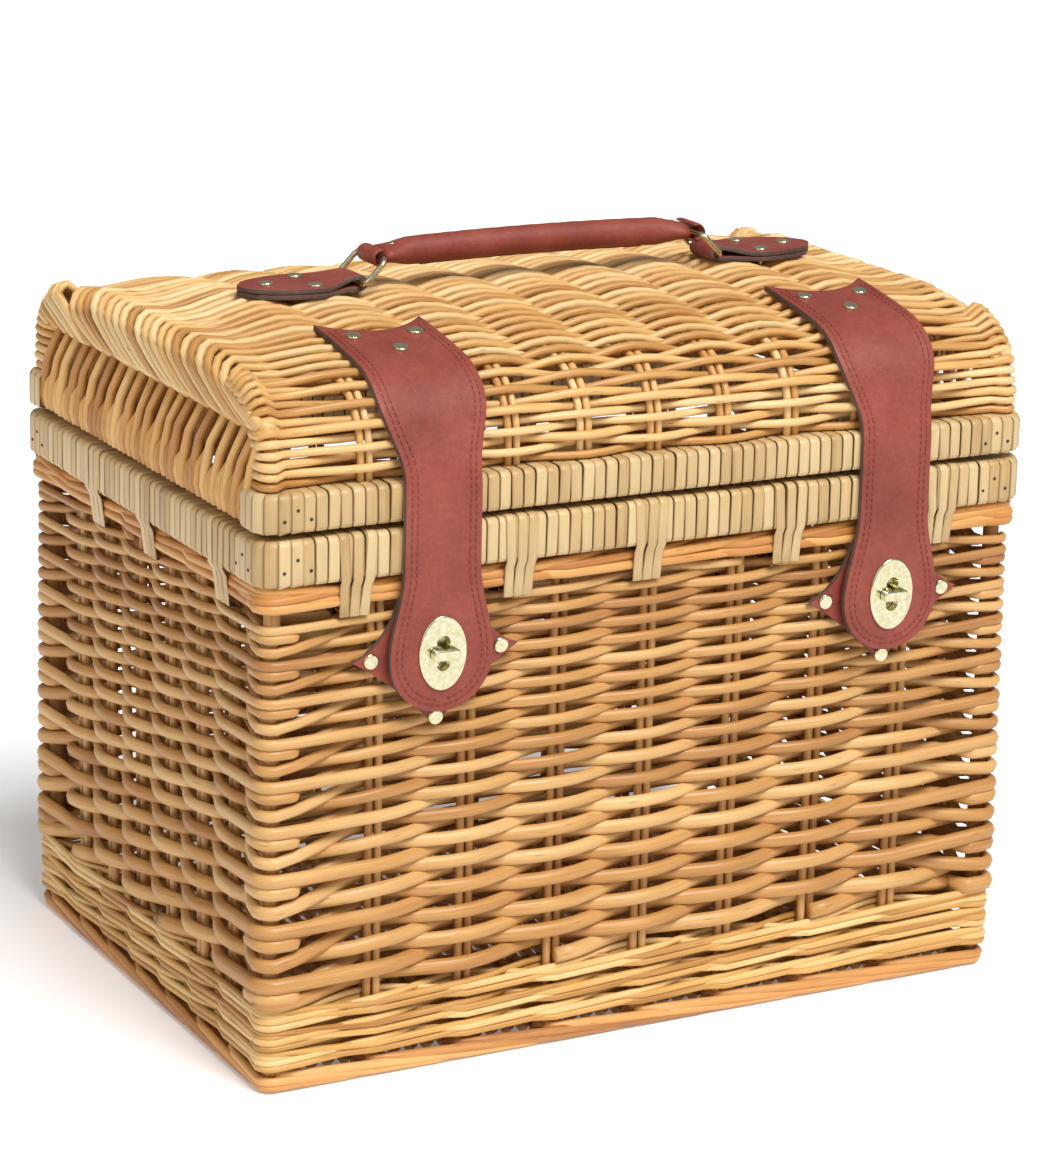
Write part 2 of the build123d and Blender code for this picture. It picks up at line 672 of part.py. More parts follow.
def handle_tab(side, foot_x):
    """Leather folded round the ring's lower bar, both layers riveted to the lid."""
    bore = ring_wire + pivot_slack
    thin = 2 * tab_leather
    tip = side * tab_length
    taper = side * tab_taper
    out = [
        Line((0, 0), (tip, 0)),
        Line((tip, 0), (tip, thin)),
        Line((tip, thin), (taper, thin)),
        Line((taper, thin), (0, 2 * fold_radius)),
        ThreePointArc((0, 2 * fold_radius), (-side * fold_radius, fold_radius), (0, 0)),
    ]
    section = make_face(Curve() + out)
    hollow = make_face(Curve() + [
        ThreePointArc((0, fold_radius + bore), (-side * bore, fold_radius), (0, fold_radius - bore)),
        Line((0, fold_radius - bore), (taper * 0.7, tab_leather)),
        Line((taper * 0.7, tab_leather), (0, fold_radius + bore)),
    ])
    width = 2 * tab_half_width
    tab = extrude(upright(section, foot_x, 0, tab_bottom), amount=width / 2, both=True)
    tab = tab - extrude(upright(hollow, foot_x, 0, tab_bottom), amount=width, both=True)
    fold, inner = tab_fold_half, -side * fold_radius * 1.5
    neck, widest = side * tab_neck, side * tab_widest
    leaf = make_face(Curve() + [
        Line((inner, -fold), (neck, -fold)),
        ThreePointArc((neck, -fold), (widest, -tab_half_width), (tip, 0)),
        ThreePointArc((tip, 0), (widest, tab_half_width), (neck, fold)),
        Line((neck, fold), (inner, fold)),
        Line((inner, fold), (inner, -fold)),
    ])
    tab = tab & upward(Pos(foot_x, 0, tab_bottom - past) * leaf, 2 * (fold_radius + past))
    return cut(tab, [at * rivet_hole(thin + past) for at in tab_rivet_places(side, foot_x)])


def tab_rivet_places(side, foot_x):
    z = tab_bottom + 2 * tab_leather
    return [Pos(foot_x + side * dx, dy, z) for dx, dy in tab_rivet_spots]


def handle_ring(side, foot_x):
    """Rounded wire rectangle, lower bar in the tab's fold and upper bar in the grip's loop."""
    reach = hypot(ring_lean, ring_rise)
    lean = degrees(atan2(ring_lean, ring_rise))
    # Drawn upright in the YZ plane with its lower bar on the pivot, then leaned inwards.
    corner_points = [(ring_half_width, 0), (ring_half_width, reach), (-ring_half_width, reach),
                     (-ring_half_width, 0)]
    flat = FilletPolyline(*corner_points, radius=ring_corner, close=True)
    path = Plane.YZ * flat
    start = Plane(origin=path @ 0, z_dir=path % 0)
    wire = sweep(start * Circle(ring_wire), path=path)
    return Pos(foot_x, 0, ring_foot_z) * Rot(0, -side * lean, 0) * wire


def grip_line(radius, half):
    """The round run of the grip: a slightly arched bar."""
    path = ThreePointArc((-half, 0, ring_top_z), (0, 0, ring_top_z + grip_rise), (half, 0, ring_top_z))
    start = Plane(origin=path @ 0, z_dir=path % 0)
    return sweep(start * Circle(radius), path=path)


def grip_parts():
    half = grip_half - grip_neck
    tube = grip_line(grip_radius, half)
    cover = tube - grip_line(grip_bore, half - 3.0)
    for side, slack in ((-1, pivot_slack), (1, open_pivot_slack)):
        start = Plane(origin=(side * (half - 0.5), 0, ring_top_z), x_dir=(0, 1, 0), z_dir=(side, 0, 0))
        end = Plane(origin=(side * (grip_half - 2.0), 0, ring_top_z), x_dir=(0, 1, 0), z_dir=(side, 0, 0))
        flat = Ellipse(grip_loop_half, grip_loop_radius - 0.3)
        neck = loft([start * Circle(grip_radius - 0.2), end * flat])
        loop = rod_y(side * grip_half, -grip_loop_half, grip_loop_half, ring_top_z, grip_loop_radius)
        bore = rod_y(side * grip_half, -40.0, 40.0, ring_top_z, ring_wire + slack)
        cover = cover + neck + loop - bore
    core = grip_line(grip_bore - 0.1, half - 3.2)
    return Pos(handle_x, 0, 0) * cover, Pos(handle_x, 0, 0) * core


# ---- rear leather hinges ----
def hinge_leaf(x, z0, z1):
    w = hinge_strap_width / 2
    leaf = block(x - w, x + w, rim_y + hinge_lift, rim_y + hinge_lift + hinge_leather, z0, z1)
    return cut(leaf, [at * rivet_hole(hinge_leather + past) for at in hinge_rivet_places(x, (z0 + z1) / 2)])


def hinge_rivet_places(x, z):
    y = rim_y + hinge_lift + hinge_leather
    return [Pos(x + dx, y, z) * Rot(-90, 0, 0) for dx in (-hinge_rivet_half, hinge_rivet_half)]


def main():
    save("foot_border", foot_border())
    base_panel, base_sticks = base_parts()
    save("base_panel", base_panel)
    save("base_sticks", base_sticks)
    save("bottom_wale", group(woven_band(foot_height + layer_gap, wale_top)))

    top_wale_z = core_bottom - top_wale_height
    walls = woven_band(wale_top + layer_gap, top_wale_z - layer_gap)
    patch_places = [at for x in strap_x for at in patch_rivet_places(x)]
    patch_holes = [at * rivet_hole(leather + rivet_into_wall) for at in patch_places]
    walls[0] = cut(walls[0], patch_holes)
    for name, shape in zip(("front_weave", "rear_weave", "left_weave", "right_weave"), walls):
        save(name, shape)
    save("top_wale", group(woven_band(top_wale_z, core_bottom - layer_gap)))

    stakes = stakes_between(foot_height + layer_gap, core_bottom - layer_gap)
    save("front_stakes", group(stakes[0]))
    save("rear_stakes", group(stakes[1]))
    save("end_stakes", group(stakes[2] + stakes[3]))
    save("corner_posts", group(posts_between(foot_height + layer_gap, core_bottom - layer_gap)))

    hinge_low = hinge_z - hinge_gap - hinge_leaf_height
    hinge_high = hinge_z + hinge_gap
    rim_thickness = rim_y - (wall_inner_y - lath - cane)
    low_middle = hinge_low + hinge_leaf_height / 2
    high_middle = hinge_high + hinge_leaf_height / 2
    body_places = [at for x in hinge_strap_x for at in hinge_rivet_places(x, low_middle)]
    lid_places = [at for x in hinge_strap_x for at in hinge_rivet_places(x, high_middle)]
    hinge_depth = hinge_leather + hinge_lift + rim_thickness
    body_holes = [at * rivet_hole(hinge_depth) for at in body_places]
    lid_holes = [at * rivet_hole(hinge_depth) for at in lid_places]

    outer, inner, core, wrap = body_rim()
    for shapes in (outer, inner, core, wrap):
        shapes[1] = cut(shapes[1], body_holes)
    save("body_rim_outer_laths", group(outer))
    save("body_rim_inner_laths", group(inner))
    save("body_rim_core", group(core))
    save("body_rim_wrap", group(wrap))
    save("body_rim_corner_bindings", group(corner_sleeves(body_rim_bottom, body_rim_top)))
    save("body_rim_ties", group(rim_ties()))

    top_weave, front_weave, rear_weave, left_end, right_end, lid_stakes = lid_parts()
    strap_places = strap_rivet_places()
    weave_over_stake = lid_wall / 2 - lid_stake_radius
    strap_depth = leather + strap_lift + weave_over_stake - 0.3
    strap_holes = [at * rivet_hole(strap_depth) for at in strap_places]
    tab_places = [at for side, x in ring_feet() for at in tab_rivet_places(side, x)]
    tab_depth = 2 * tab_leather + tab_lift + weave_over_stake - 0.4
    tab_holes = [at * rivet_hole(tab_depth) for at in tab_places]
    save("lid_top_weave", cut(top_weave, strap_holes + tab_holes))
    save("lid_front_weave", front_weave)
    save("lid_rear_weave", rear_weave)
    save("lid_left_end", lid_end(left_end, -1))
    save("lid_right_end", lid_end(right_end, 1))
    save("lid_stakes", group(lid_stakes))
    save("lid_corner_posts", group([lid_post(sx, sy) for sx in (-1, 1) for sy in (-1, 1)]))

    outer, inner, core, wrap, sleeves, rods = lid_rim()
    for shapes in (outer, inner, core, wrap):
        shapes[1] = cut(shapes[1], lid_holes)
    save("lid_rim_outer_laths", group(outer))
    save("lid_rim_inner_laths", group(inner))
    save("lid_rim_core", group(core))
    save("lid_rim_wrap", group(wrap))
    save("lid_rim_corner_bindings", group(sleeves))
    save("lid_end_rods", group(rods))

    for word, x in zip(("left", "right"), strap_x):
        save("strap_upper_" + word, cut(strap_upper(x), strap_holes))
        save("strap_tongue_" + word, strap_tongue(x))
        save("lock_eyelet_" + word, lock_eyelet(x))
        save("latch_patch_" + word, latch_patch(x))
        save("turn_lock_base_" + word, turn_lock_base(x))
        save("turn_button_" + word, turn_button(x))
    save("strap_rivets", group([at * rivet(strap_depth) for at in strap_places]))
    save("patch_rivets", group([at * rivet(leather + rivet_into_wall) for at in patch_places]))

    for word, (side, foot_x) in zip(("left", "right"), ring_feet()):
        save("handle_tab_" + word, handle_tab(side, foot_x))
        save("handle_ring_" + word, handle_ring(side, foot_x))
    save("handle_tab_rivets", group([at * rivet(tab_depth) for at in tab_places]))
    grip_cover, grip_core = grip_parts()
    save("grip_cover", grip_cover)
    save("grip_core", grip_core)

    body_leaves = [hinge_leaf(x, hinge_low, hinge_low + hinge_leaf_height) for x in hinge_strap_x]
    lid_leaves = [hinge_leaf(x, hinge_high, hinge_high + hinge_leaf_height) for x in hinge_strap_x]
    save("hinge_leaves_body", group(body_leaves))
    save("hinge_leaves_lid", group(lid_leaves))
    half = hinge_strap_width / 2
    folds = [rod_x(x - half, x + half, hinge_y, hinge_z, hinge_fold_radius) for x in hinge_strap_x]
    save("hinge_folds", group(folds))
    save("hinge_rivets_body", group([at * rivet(hinge_depth) for at in body_places]))
    save("hinge_rivets_lid", group([at * rivet(hinge_depth) for at in lid_places]))


main()
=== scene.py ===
"""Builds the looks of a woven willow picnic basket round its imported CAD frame."""
from math import acos, asin, atan2, cos, floor, hypot, pi, radians, sin, sqrt
from random import Random

import bmesh
import bpy
from bpy.props import FloatProperty, FloatVectorProperty, IntProperty, PointerProperty, StringProperty
from mathutils import Matrix, Vector


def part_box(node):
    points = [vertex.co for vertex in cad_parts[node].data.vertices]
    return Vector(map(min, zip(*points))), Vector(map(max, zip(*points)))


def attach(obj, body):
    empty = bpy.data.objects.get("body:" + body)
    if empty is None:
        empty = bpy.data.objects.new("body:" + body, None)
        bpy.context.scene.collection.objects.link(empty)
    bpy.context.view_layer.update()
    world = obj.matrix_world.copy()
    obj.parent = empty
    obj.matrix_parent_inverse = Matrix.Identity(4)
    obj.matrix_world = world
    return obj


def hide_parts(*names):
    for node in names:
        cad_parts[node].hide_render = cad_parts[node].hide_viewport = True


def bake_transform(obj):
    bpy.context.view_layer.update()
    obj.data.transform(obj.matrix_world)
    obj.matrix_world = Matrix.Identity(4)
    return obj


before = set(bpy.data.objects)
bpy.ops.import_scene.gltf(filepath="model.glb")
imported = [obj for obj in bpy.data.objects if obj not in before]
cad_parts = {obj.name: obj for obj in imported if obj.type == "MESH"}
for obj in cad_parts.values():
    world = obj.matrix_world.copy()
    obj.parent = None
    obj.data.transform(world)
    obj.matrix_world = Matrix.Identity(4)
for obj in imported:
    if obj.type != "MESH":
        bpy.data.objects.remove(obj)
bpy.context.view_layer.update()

bl_info = {
    "name": "Willow Picnic Basket",
    "version": (1, 0, 0),
    "blender": (4, 5, 0),
    "location": "View3D > Sidebar > Basket",
    "description": "Weaves a willow picnic basket with leather straps round its CAD frame",
    "category": "Object",
}

MM = 0.001
FRONT, REAR = -1, 1
LEFT, RIGHT = -1, 1
SIDES = (LEFT, RIGHT)
CORNERS = ((LEFT, FRONT), (LEFT, REAR), (RIGHT, FRONT), (RIGHT, REAR))
UP = Vector((0, 0, 1))
STRAPS = (("left", "strap_left"), ("right", "strap_right"))
LONG_TIES = (-0.764, -0.359, -0.027, 0.345, 0.764)      # along the front and rear, as parts of half a side
SHORT_TIES = (-0.665, -0.077, 0.368)                    # along the ends
FOOT_WALES = 3          # rows of waling above the foot
REAR_STATION = 18       # a pair in the middle of the rear wall, where closed rounds begin and end


# ---------------------------------------------------------------- sizes and colours

def length(name, text, default_mm):
    """A setting that is a length: its default is given in millimetres and kept in metres."""
    return FloatProperty(name=name, description=text, default=default_mm * MM, unit="LENGTH", precision=5)


def colour(name, text, code):
    return StringProperty(name=name, description=text + ", as an sRGB hex value", default=code)


class WeaveSettings(bpy.types.PropertyGroup):
    front_pairs: IntProperty(name="Front pairs", description="Stake pairs in the front wall", default=7)
    end_pairs: IntProperty(name="End pairs", description="Stake pairs in each end wall", default=6)
    lid_pairs: IntProperty(name="Lid pairs", description="Stake pairs across the lid", default=9)
    pair_half: length("Pair half", "From a pair's middle to each of its stakes", 2.6)
    lid_stake: length("Lid stake", "Radius of a lid stake", 2.0)
    lid_post: length("Lid post", "Radius of a lid corner post", 3.5)
    lid_inset: length("Lid inset", "From the lid's outside to the middle of its weave", 5.0)
    lid_pair_half: length("Lid pair half", "From a lid pair's middle to each stake", 2.3)
    spirals: IntProperty(name="Spirals", description="Rods that climb the walls side by side", default=10)
    butt: length("Butt radius", "Rod radius at the foot of the walls", 3.75)
    tip: length("Tip radius", "Rod radius at the top of the walls", 2.05)
    row_spacing: FloatProperty(name="Row spacing", description="Row height as a part of the rod's width",
                               default=1.0)
    wale_rod: length("Wale radius", "Rod radius in the waling below the rim", 2.65)
    foot_wale_rod: length("Foot wale radius", "Rod radius in the waling above the foot", 1.95)
    foot_wale_rise: length("Foot wale rise", "Height of one row of the waling above the foot", 11.0)
    border_rod: length("Border radius", "Rod radius in the foot border", 2.7)
    lid_rod: length("Lid rod radius", "Rod radius of the lid's weavers", 2.25)
    base_rod: length("Base rod radius", "Rod radius of the base's weavers", 2.1)
    end_roll: length("End roll", "Radius over which the dome's weavers turn down", 11.0)
    end_drift: length("End drift", "How far a turned-down weaver runs forward", 38.0)
    end_lean: length("End lean", "How far an end stick leans back from the seam", 16.0)
    end_sticks: IntProperty(name="End sticks", description="Sticks in the lower half of a lid end",
                            default=45)
    seam_drop: length("Seam drop", "From the crown to the seam of the lid's ends", 34.0)
    shoulder_rise: length("Shoulder rise", "Straight wall between lid rim and shoulder", 12.5)
    willow_light: colour("Willow light", "Lightest peeled willow of the body", "#E3BB7E")
    willow_mid: colour("Willow middle", "Usual peeled willow of the body", "#C79353")
    willow_dark: colour("Willow dark", "Darkest peeled willow of the body", "#99602F")
    lid_light: colour("Lid light", "Lightest willow of the lid", "#F3D7A0")
    lid_mid: colour("Lid middle", "Usual willow of the lid", "#E0AF6A")
    lid_dark: colour("Lid dark", "Darkest willow of the lid", "#B37A3B")
    foot_mid: colour("Foot middle", "Usual willow of the foot border", "#D89C58")


class CaneSettings(bpy.types.PropertyGroup):
    width: length("Strip width", "Width of one strip of split cane", 6.6)
    thickness: length("Strip thickness", "Thickness of the cane", 1.1)
    rounding: length("Strip rounding", "How a strip rounds the rim's edges", 2.4)
    lath: length("Lath half thickness", "Half the thickness of an outer lath", 2.5)
    nail: length("Nail radius", "Head of a nail at the rims' corners", 0.9)
    tie_drop: length("Tie drop", "How far a tie reaches below the rim", 20)
    tie_strip: length("Tie strip", "Width of one strip of a tie", 5.2)
    straw_light: colour("Cane light", "Pale face of the split cane", "#DCC08E")
    straw_mid: colour("Cane middle", "Usual face of the split cane", "#C2A06C")
    straw_dark: colour("Cane dark", "Stained edge of the split cane", "#7C5B30")
    corner_radius: length("Corner radius", "Rounding of the rims' corners seen from above", 12.0)
    corner_strips: IntProperty(name="Corner strips", description="Strips fanned round one corner", default=6)


class LeatherSettings(bpy.types.PropertyGroup):
    strap_thickness: length("Strap thickness", "Thickness of the strap leather", 3.0)
    tab_thickness: length("Tab thickness", "Thickness of the handle tab leather", 2.5)
    tab_fold_half: length("Tab fold", "Half the tab's width at its fold", 11.0)
    tab_wide_half: length("Tab belly", "Half the tab's greatest width", 21.0)
    wire: length("Ring wire", "Radius of the handle rings' wire", 1.5)
    grip_radius: length("Grip radius", "The grip where the hand holds it", 7.4)
    grip_end_half: length("Grip end", "Half the width of the grip's flat ends", 11.0)
    grip_end_thin: length("Grip end depth", "Half the depth of the grip's flat ends", 4.4)
    loop_radius: length("Loop radius", "Outside of the grip's loops round the rings", 4.8)
    hinge_half: length("Hinge half width", "Half the width of a rear hinge", 17.0)
    slot_width: length("Slot width", "The slot behind a lock's eyelet", 8.8)
    slot_height: length("Slot height", "The slot behind a lock's eyelet", 19.4)
    tail_notch: length("Tail notch", "Depth of the curve between a strap's two tail points", 15.0)
    tail_reach: length("Tail reach", "Length of strap that the notch pulls forward", 26.0)
    tongue_bow: length("Tongue bow", "The tongue widens from this far above its round end", 45.0)
    neck_half: length("Neck half width", "Half the strap's width over the rims", 20.5)
    stitch_pitch: length("Stitch pitch", "From one stitch to the next", 3.5)
    stitch_length: length("Stitch length", "Length of one stitch", 2.5)
    stitch_inset: length("Stitch inset", "From the strap's edge to the outer stitch row", 3.2)
    stitch_rows_apart: length("Row spacing", "Between the two stitch rows", 3.0)
    hide_light: colour("Leather light", "Worn high parts of the leather", "#AB5946")
    hide_mid: colour("Leather middle", "Usual colour of the leather", "#8F3F32")
    hide_dark: colour("Leather dark", "Creases and pores of the leather", "#722E23")
    raw_edge: colour("Raw edge", "Cut edge of the leather", "#5E4A42")
    thread: colour("Thread", "Stitching thread", "#8A3F33")


class StageSettings(bpy.types.PropertyGroup):
    camera_distance: length("Camera distance", "From the target to the camera", 2079.5)
    target_height: length("Target height", "Height of the point the camera turns about", 198.0)
    azimuth: FloatProperty(name="Azimuth", description="Turn of the camera towards the left end, in degrees",
                           default=28.2)
    elevation: FloatProperty(name="Elevation", default=15.9,
                             description="Height of the camera above the level, in degrees")
    roll: FloatProperty(name="Roll", description="Tilt of the camera about its view, in degrees",
                        default=1.25)
    lens: FloatProperty(name="Lens", description="Focal length in millimetres on a 36 mm sensor",
                        default=118.3)
    key_strength: FloatProperty(name="Key light", description="Strength of the key light", default=3.1)
    sky_strength: FloatProperty(name="Surround", description="Strength of the studio surround", default=0.24)
    sky: FloatVectorProperty(name="Sky", description="Colour of the studio surround", subtype="COLOR",
                             default=(1.0, 1.0, 1.0))


# ---------------------------------------------------------------- small helpers

def weave():
    """The settings of rods and stakes."""
    return bpy.context.scene.basket_weave


def cane():
    """The settings of the wrapped rims."""
    return bpy.context.scene.basket_cane


def leather():
    """The settings of straps, handle and hinges."""
    return bpy.context.scene.basket_leather


def span(*nodes):
    """Lowest and highest corner of several CAD nodes together."""
    boxes = [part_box(node) for node in nodes]
    low = Vector([min(b[0][i] for b in boxes) for i in range(3)])
    high = Vector([max(b[1][i] for b in boxes) for i in range(3)])
    return low, high


def mix(a, b, t):
    """The value that lies a share t of the way from a to b."""
    return a + (b - a) * t


def ease(t):
    """A smooth rise from 0 to 1, level at both ends."""
    t = min(1.0, max(0.0, t))
    return t * t * (3 - 2 * t)


def swing(t):
    """Half a cosine wave from 0 to 1, the line a rod takes from one side of a stake to the other."""
    return (1 - cos(pi * t)) / 2


def linear(code):
    """An sRGB hex value as a linear colour."""
    parts = [int(code[i:i + 2], 16) / 255 for i in (1, 3, 5)]
    return [c / 12.92 if c <= 0.04045 else ((c + 0.055) / 1.055) ** 2.4 for c in parts] + [1.0]


def circle(sides):
    """A round section with so many sides."""
    return [(cos(2 * pi * k / sides), sin(2 * pi * k / sides)) for k in range(sides)]


ROUND = circle(8)
SLIM = circle(6)
THREAD = circle(3)
# A strip of split cane: nearly flat inside, softly crowned outside.
STRIP = [(-1.0, 0.1), (0.0, -1.0), (1.0, 0.1), (0.78, 0.95), (-0.78, 0.95)]


class Bundle:
    """Collects swept rods, strips and other small meshes into one piece.

    Each rod is a grid rolled into a tube. "grain" holds where a point is round and along its own rod,
    in metres, and "tone" a number from 0 to 1 that is the same all over one rod.
    """

    def __init__(self, name, seed):
        self.name = name
        self.random = Random(seed)
        self.bm = bmesh.new()
        self.add_layers(self.bm)

    def add_layers(self, bm):
        """The two layers that every material reads."""
        return bm.verts.layers.float_vector.new("grain"), bm.verts.layers.float.new("tone")

    def take(self, bm):
        """Moves a small finished bmesh into the bundle."""
        mesh = bpy.data.meshes.new("part")
        bm.to_mesh(mesh)
        bm.free()
        self.bm.from_mesh(mesh)
        bpy.data.meshes.remove(mesh)

    def rod(self, points, radii, section=ROUND, facing=None, tone=None, start=0.0):
        """Sweeps a section along points. radii are one number or (across, out) pair for each point, or
        one for all. facing gives the outward direction of a flat section at each point."""
        rings = len(points)
        sides = len(section)
        if not isinstance(radii, list):
            radii = [radii] * rings
        tone = self.random.random() if tone is None else tone
        bm = bmesh.new()
        grain_layer, tone_layer = self.add_layers(bm)
        made = bmesh.ops.create_grid(bm, x_segments=sides, y_segments=rings - 1, size=0.5)
        frames = self.frames(points, facing)
        along = [start]
        for a, b in zip(points, points[1:]):
            along.append(along[-1] + (b - a).length)
        seam = []
        for v in made["verts"]:
            k = round((v.co.x + 0.5) * sides)
            i = round((v.co.y + 0.5) * (rings - 1))
            across, out = radii[i] if isinstance(radii[i], tuple) else (radii[i], radii[i])
            x, y = section[k % sides]
            side, up = frames[i]
            v.co = points[i] + side * (x * across) + up * (y * out)
            v[grain_layer] = Vector((x * across, y * out, along[i]))
            v[tone_layer] = tone
            if k in (0, sides):
                seam.append(v)
        bmesh.ops.remove_doubles(bm, verts=seam, dist=1e-7)
        open_edges = [e for e in bm.edges if e.is_boundary]
        bmesh.ops.holes_fill(bm, edges=open_edges, sides=0)
        self.take(bm)

    def frames(self, points, facing):
        """A side and an outward direction at each point, square to the rod."""
        found = []
        up = None
        last = len(points) - 1
        for i in range(len(points)):
            along = (points[min(i + 1, last)] - points[max(i - 1, 0)]).normalized()
            if facing is not None:
                up = facing[i].copy()
            elif up is None:
                up = UP if abs(along.z) < 0.8 else Vector((0, 1, 0))
            up = (up - along * up.dot(along)).normalized()
            found.append((up.cross(along), up))
        return found

    def head(self, place, radius, flat, axis=UP):
        """The head of a nail or rivet: a sphere, flattened along an axis."""
        bm = bmesh.new()
        self.add_layers(bm)
        turn = UP.rotation_difference(axis).to_matrix().to_4x4()
        matrix = Matrix.Translation(place) @ turn @ Matrix.Diagonal((1, 1, flat, 1))
        bmesh.ops.create_uvsphere(bm, u_segments=12, v_segments=6, radius=radius, matrix=matrix)
        self.take(bm)

    def finish(self, material, body=None, replaces=(), slot=None):
        """Turns what was collected into one object and settles it in the frame."""
        mesh = bpy.data.meshes.new(self.name)
        for face in self.bm.faces:
            face.smooth = True
        self.bm.to_mesh(mesh)
        self.bm.free()
        return settle_piece(mesh, self.name, [material], body, replaces)


def settle_piece(mesh, name, materials, body, replaces=()):
    """Makes an object of a finished mesh and gives it its materials, body and CAD nodes."""
    obj = bpy.data.objects.new(name, mesh)
    bpy.context.scene.collection.objects.link(obj)
    for material in materials:
        mesh.materials.append(material)
    if body is not None:
        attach(obj, body)
    if replaces:
        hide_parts(*replaces)
    return obj


def bake(obj):
    """Applies the object's modifiers to its mesh."""
    bpy.context.view_layer.update()
    graph = bpy.context.evaluated_depsgraph_get()
    mesh = bpy.data.meshes.new_from_object(obj.evaluated_get(graph))
    mesh.name = obj.name
    obj.modifiers.clear()
    obj.data = mesh


# ---------------------------------------------------------------- materials

def add(tree, kind, inputs=None, **settings):
    """Adds a node: inputs are sockets to link or values to set, settings are the node's own."""
    node = tree.nodes.new(kind)
    for key, value in settings.items():
        setattr(node, key, value)
    for key, value in (inputs or {}).items():
        if isinstance(value, bpy.types.NodeSocket):
            tree.links.new(value, node.inputs[key])
        else:
            node.inputs[key].default_value = value
    return node


def new_material(name):
    """An empty node material and its tree."""
    material = bpy.data.materials.new(name)
    material.use_nodes = True
    material.node_tree.nodes.clear()
    return material, material.node_tree


def set_ramp(node, stops):
    """Gives a colour ramp its (position, colour) stops."""
    ramp = node.color_ramp
    while len(ramp.elements) < len(stops):
        ramp.elements.new(0.5)
    for element, (position, value) in zip(ramp.elements, stops):
        element.position = position
        element.color = value
    return node


def weigh(tree, value, factor, rest):
    """The number value times factor plus rest."""
    return add(tree, "ShaderNodeMath", {0: value, 1: factor, 2: rest}, operation="MULTIPLY_ADD").outputs[0]


def relief(tree, height, strength, depth_mm):
    """Surface direction for a fine relief."""
    bump = add(tree, "ShaderNodeBump", {"Height": height, "Strength": strength, "Distance": depth_mm * MM})
    return bump.outputs["Normal"]


def surface(tree, inputs):
    """A principled shader on the material's surface."""
    shader = add(tree, "ShaderNodeBsdfPrincipled", inputs)
    add(tree, "ShaderNodeOutputMaterial", {"Surface": shader.outputs["BSDF"]})


def rod_coordinates(tree, across_mm, along_mm):
    """Coordinates that run along each rod, shifted from rod to rod, one unit per grain."""
    grain = add(tree, "ShaderNodeAttribute", attribute_name="grain")
    tone = add(tree, "ShaderNodeAttribute", attribute_name="tone")
    across, along = 1 / (across_mm * MM), 1 / (along_mm * MM)
    scaled = add(tree, "ShaderNodeVectorMath", {0: grain.outputs["Vector"], 1: (across, across, along)},
                 operation="MULTIPLY")
    shift = add(tree, "ShaderNodeVectorMath", {0: tone.outputs["Fac"], 1: (311.0, 173.0, 97.0)},
                operation="MULTIPLY")
    moved = add(tree, "ShaderNodeVectorMath", {0: scaled.outputs[0], 1: shift.outputs[0]}, operation="ADD")
    return moved.outputs[0], tone.outputs["Fac"]


def peeled_willow(name, light, middle, dark, roughness=0.38):
    """Peeled willow rod, boiled buff and satin varnished: each rod its own tone, fine grain along it,
    a few brown bud scars, and a soft bright line where it rounds."""
    material, tree = new_material(name)
    fine, tone = rod_coordinates(tree, 0.9, 30.0)
    broad, _ = rod_coordinates(tree, 9.0, 70.0)
    spots, _ = rod_coordinates(tree, 2.2, 24.0)
    streak = add(tree, "ShaderNodeTexNoise", {"Vector": fine, "Scale": 1.0, "Detail": 3.0, "Roughness": 0.6})
    patch = add(tree, "ShaderNodeTexNoise", {"Vector": broad, "Scale": 1.0, "Detail": 2.0})
    scar = add(tree, "ShaderNodeTexVoronoi", {"Vector": spots, "Scale": 1.0, "Randomness": 1.0})
    # Tone counts most, then slow patches along the rod, then the grain.
    level = weigh(tree, tone, 0.50, -0.28)
    level = weigh(tree, patch.outputs["Fac"], 0.55, level)
    level = weigh(tree, streak.outputs["Fac"], 0.42, level)
    ramp = set_ramp(add(tree, "ShaderNodeValToRGB", {"Fac": level}),
                    [(0.08, linear(dark)), (0.45, linear(middle)), (0.85, linear(light))])
    mark = add(tree, "ShaderNodeMapRange", {"Value": scar.outputs["Distance"], "From Min": 0.05,
                                            "From Max": 0.16, "To Min": 0.55, "To Max": 0.0})
    scarred = add(tree, "ShaderNodeMix", {"Factor": mark.outputs[0], "A": ramp.outputs["Color"],
                                          "B": linear("#7A4A20")}, data_type="RGBA")
    shine = add(tree, "ShaderNodeMapRange", {"Value": patch.outputs["Fac"], "To Min": roughness - 0.08,
                                             "To Max": roughness + 0.14})
    surface(tree, {"Base Color": scarred.outputs["Result"], "Roughness": shine.outputs[0], "IOR": 1.5,
                   "Normal": relief(tree, streak.outputs["Fac"], 0.35, 0.35)})
    return material


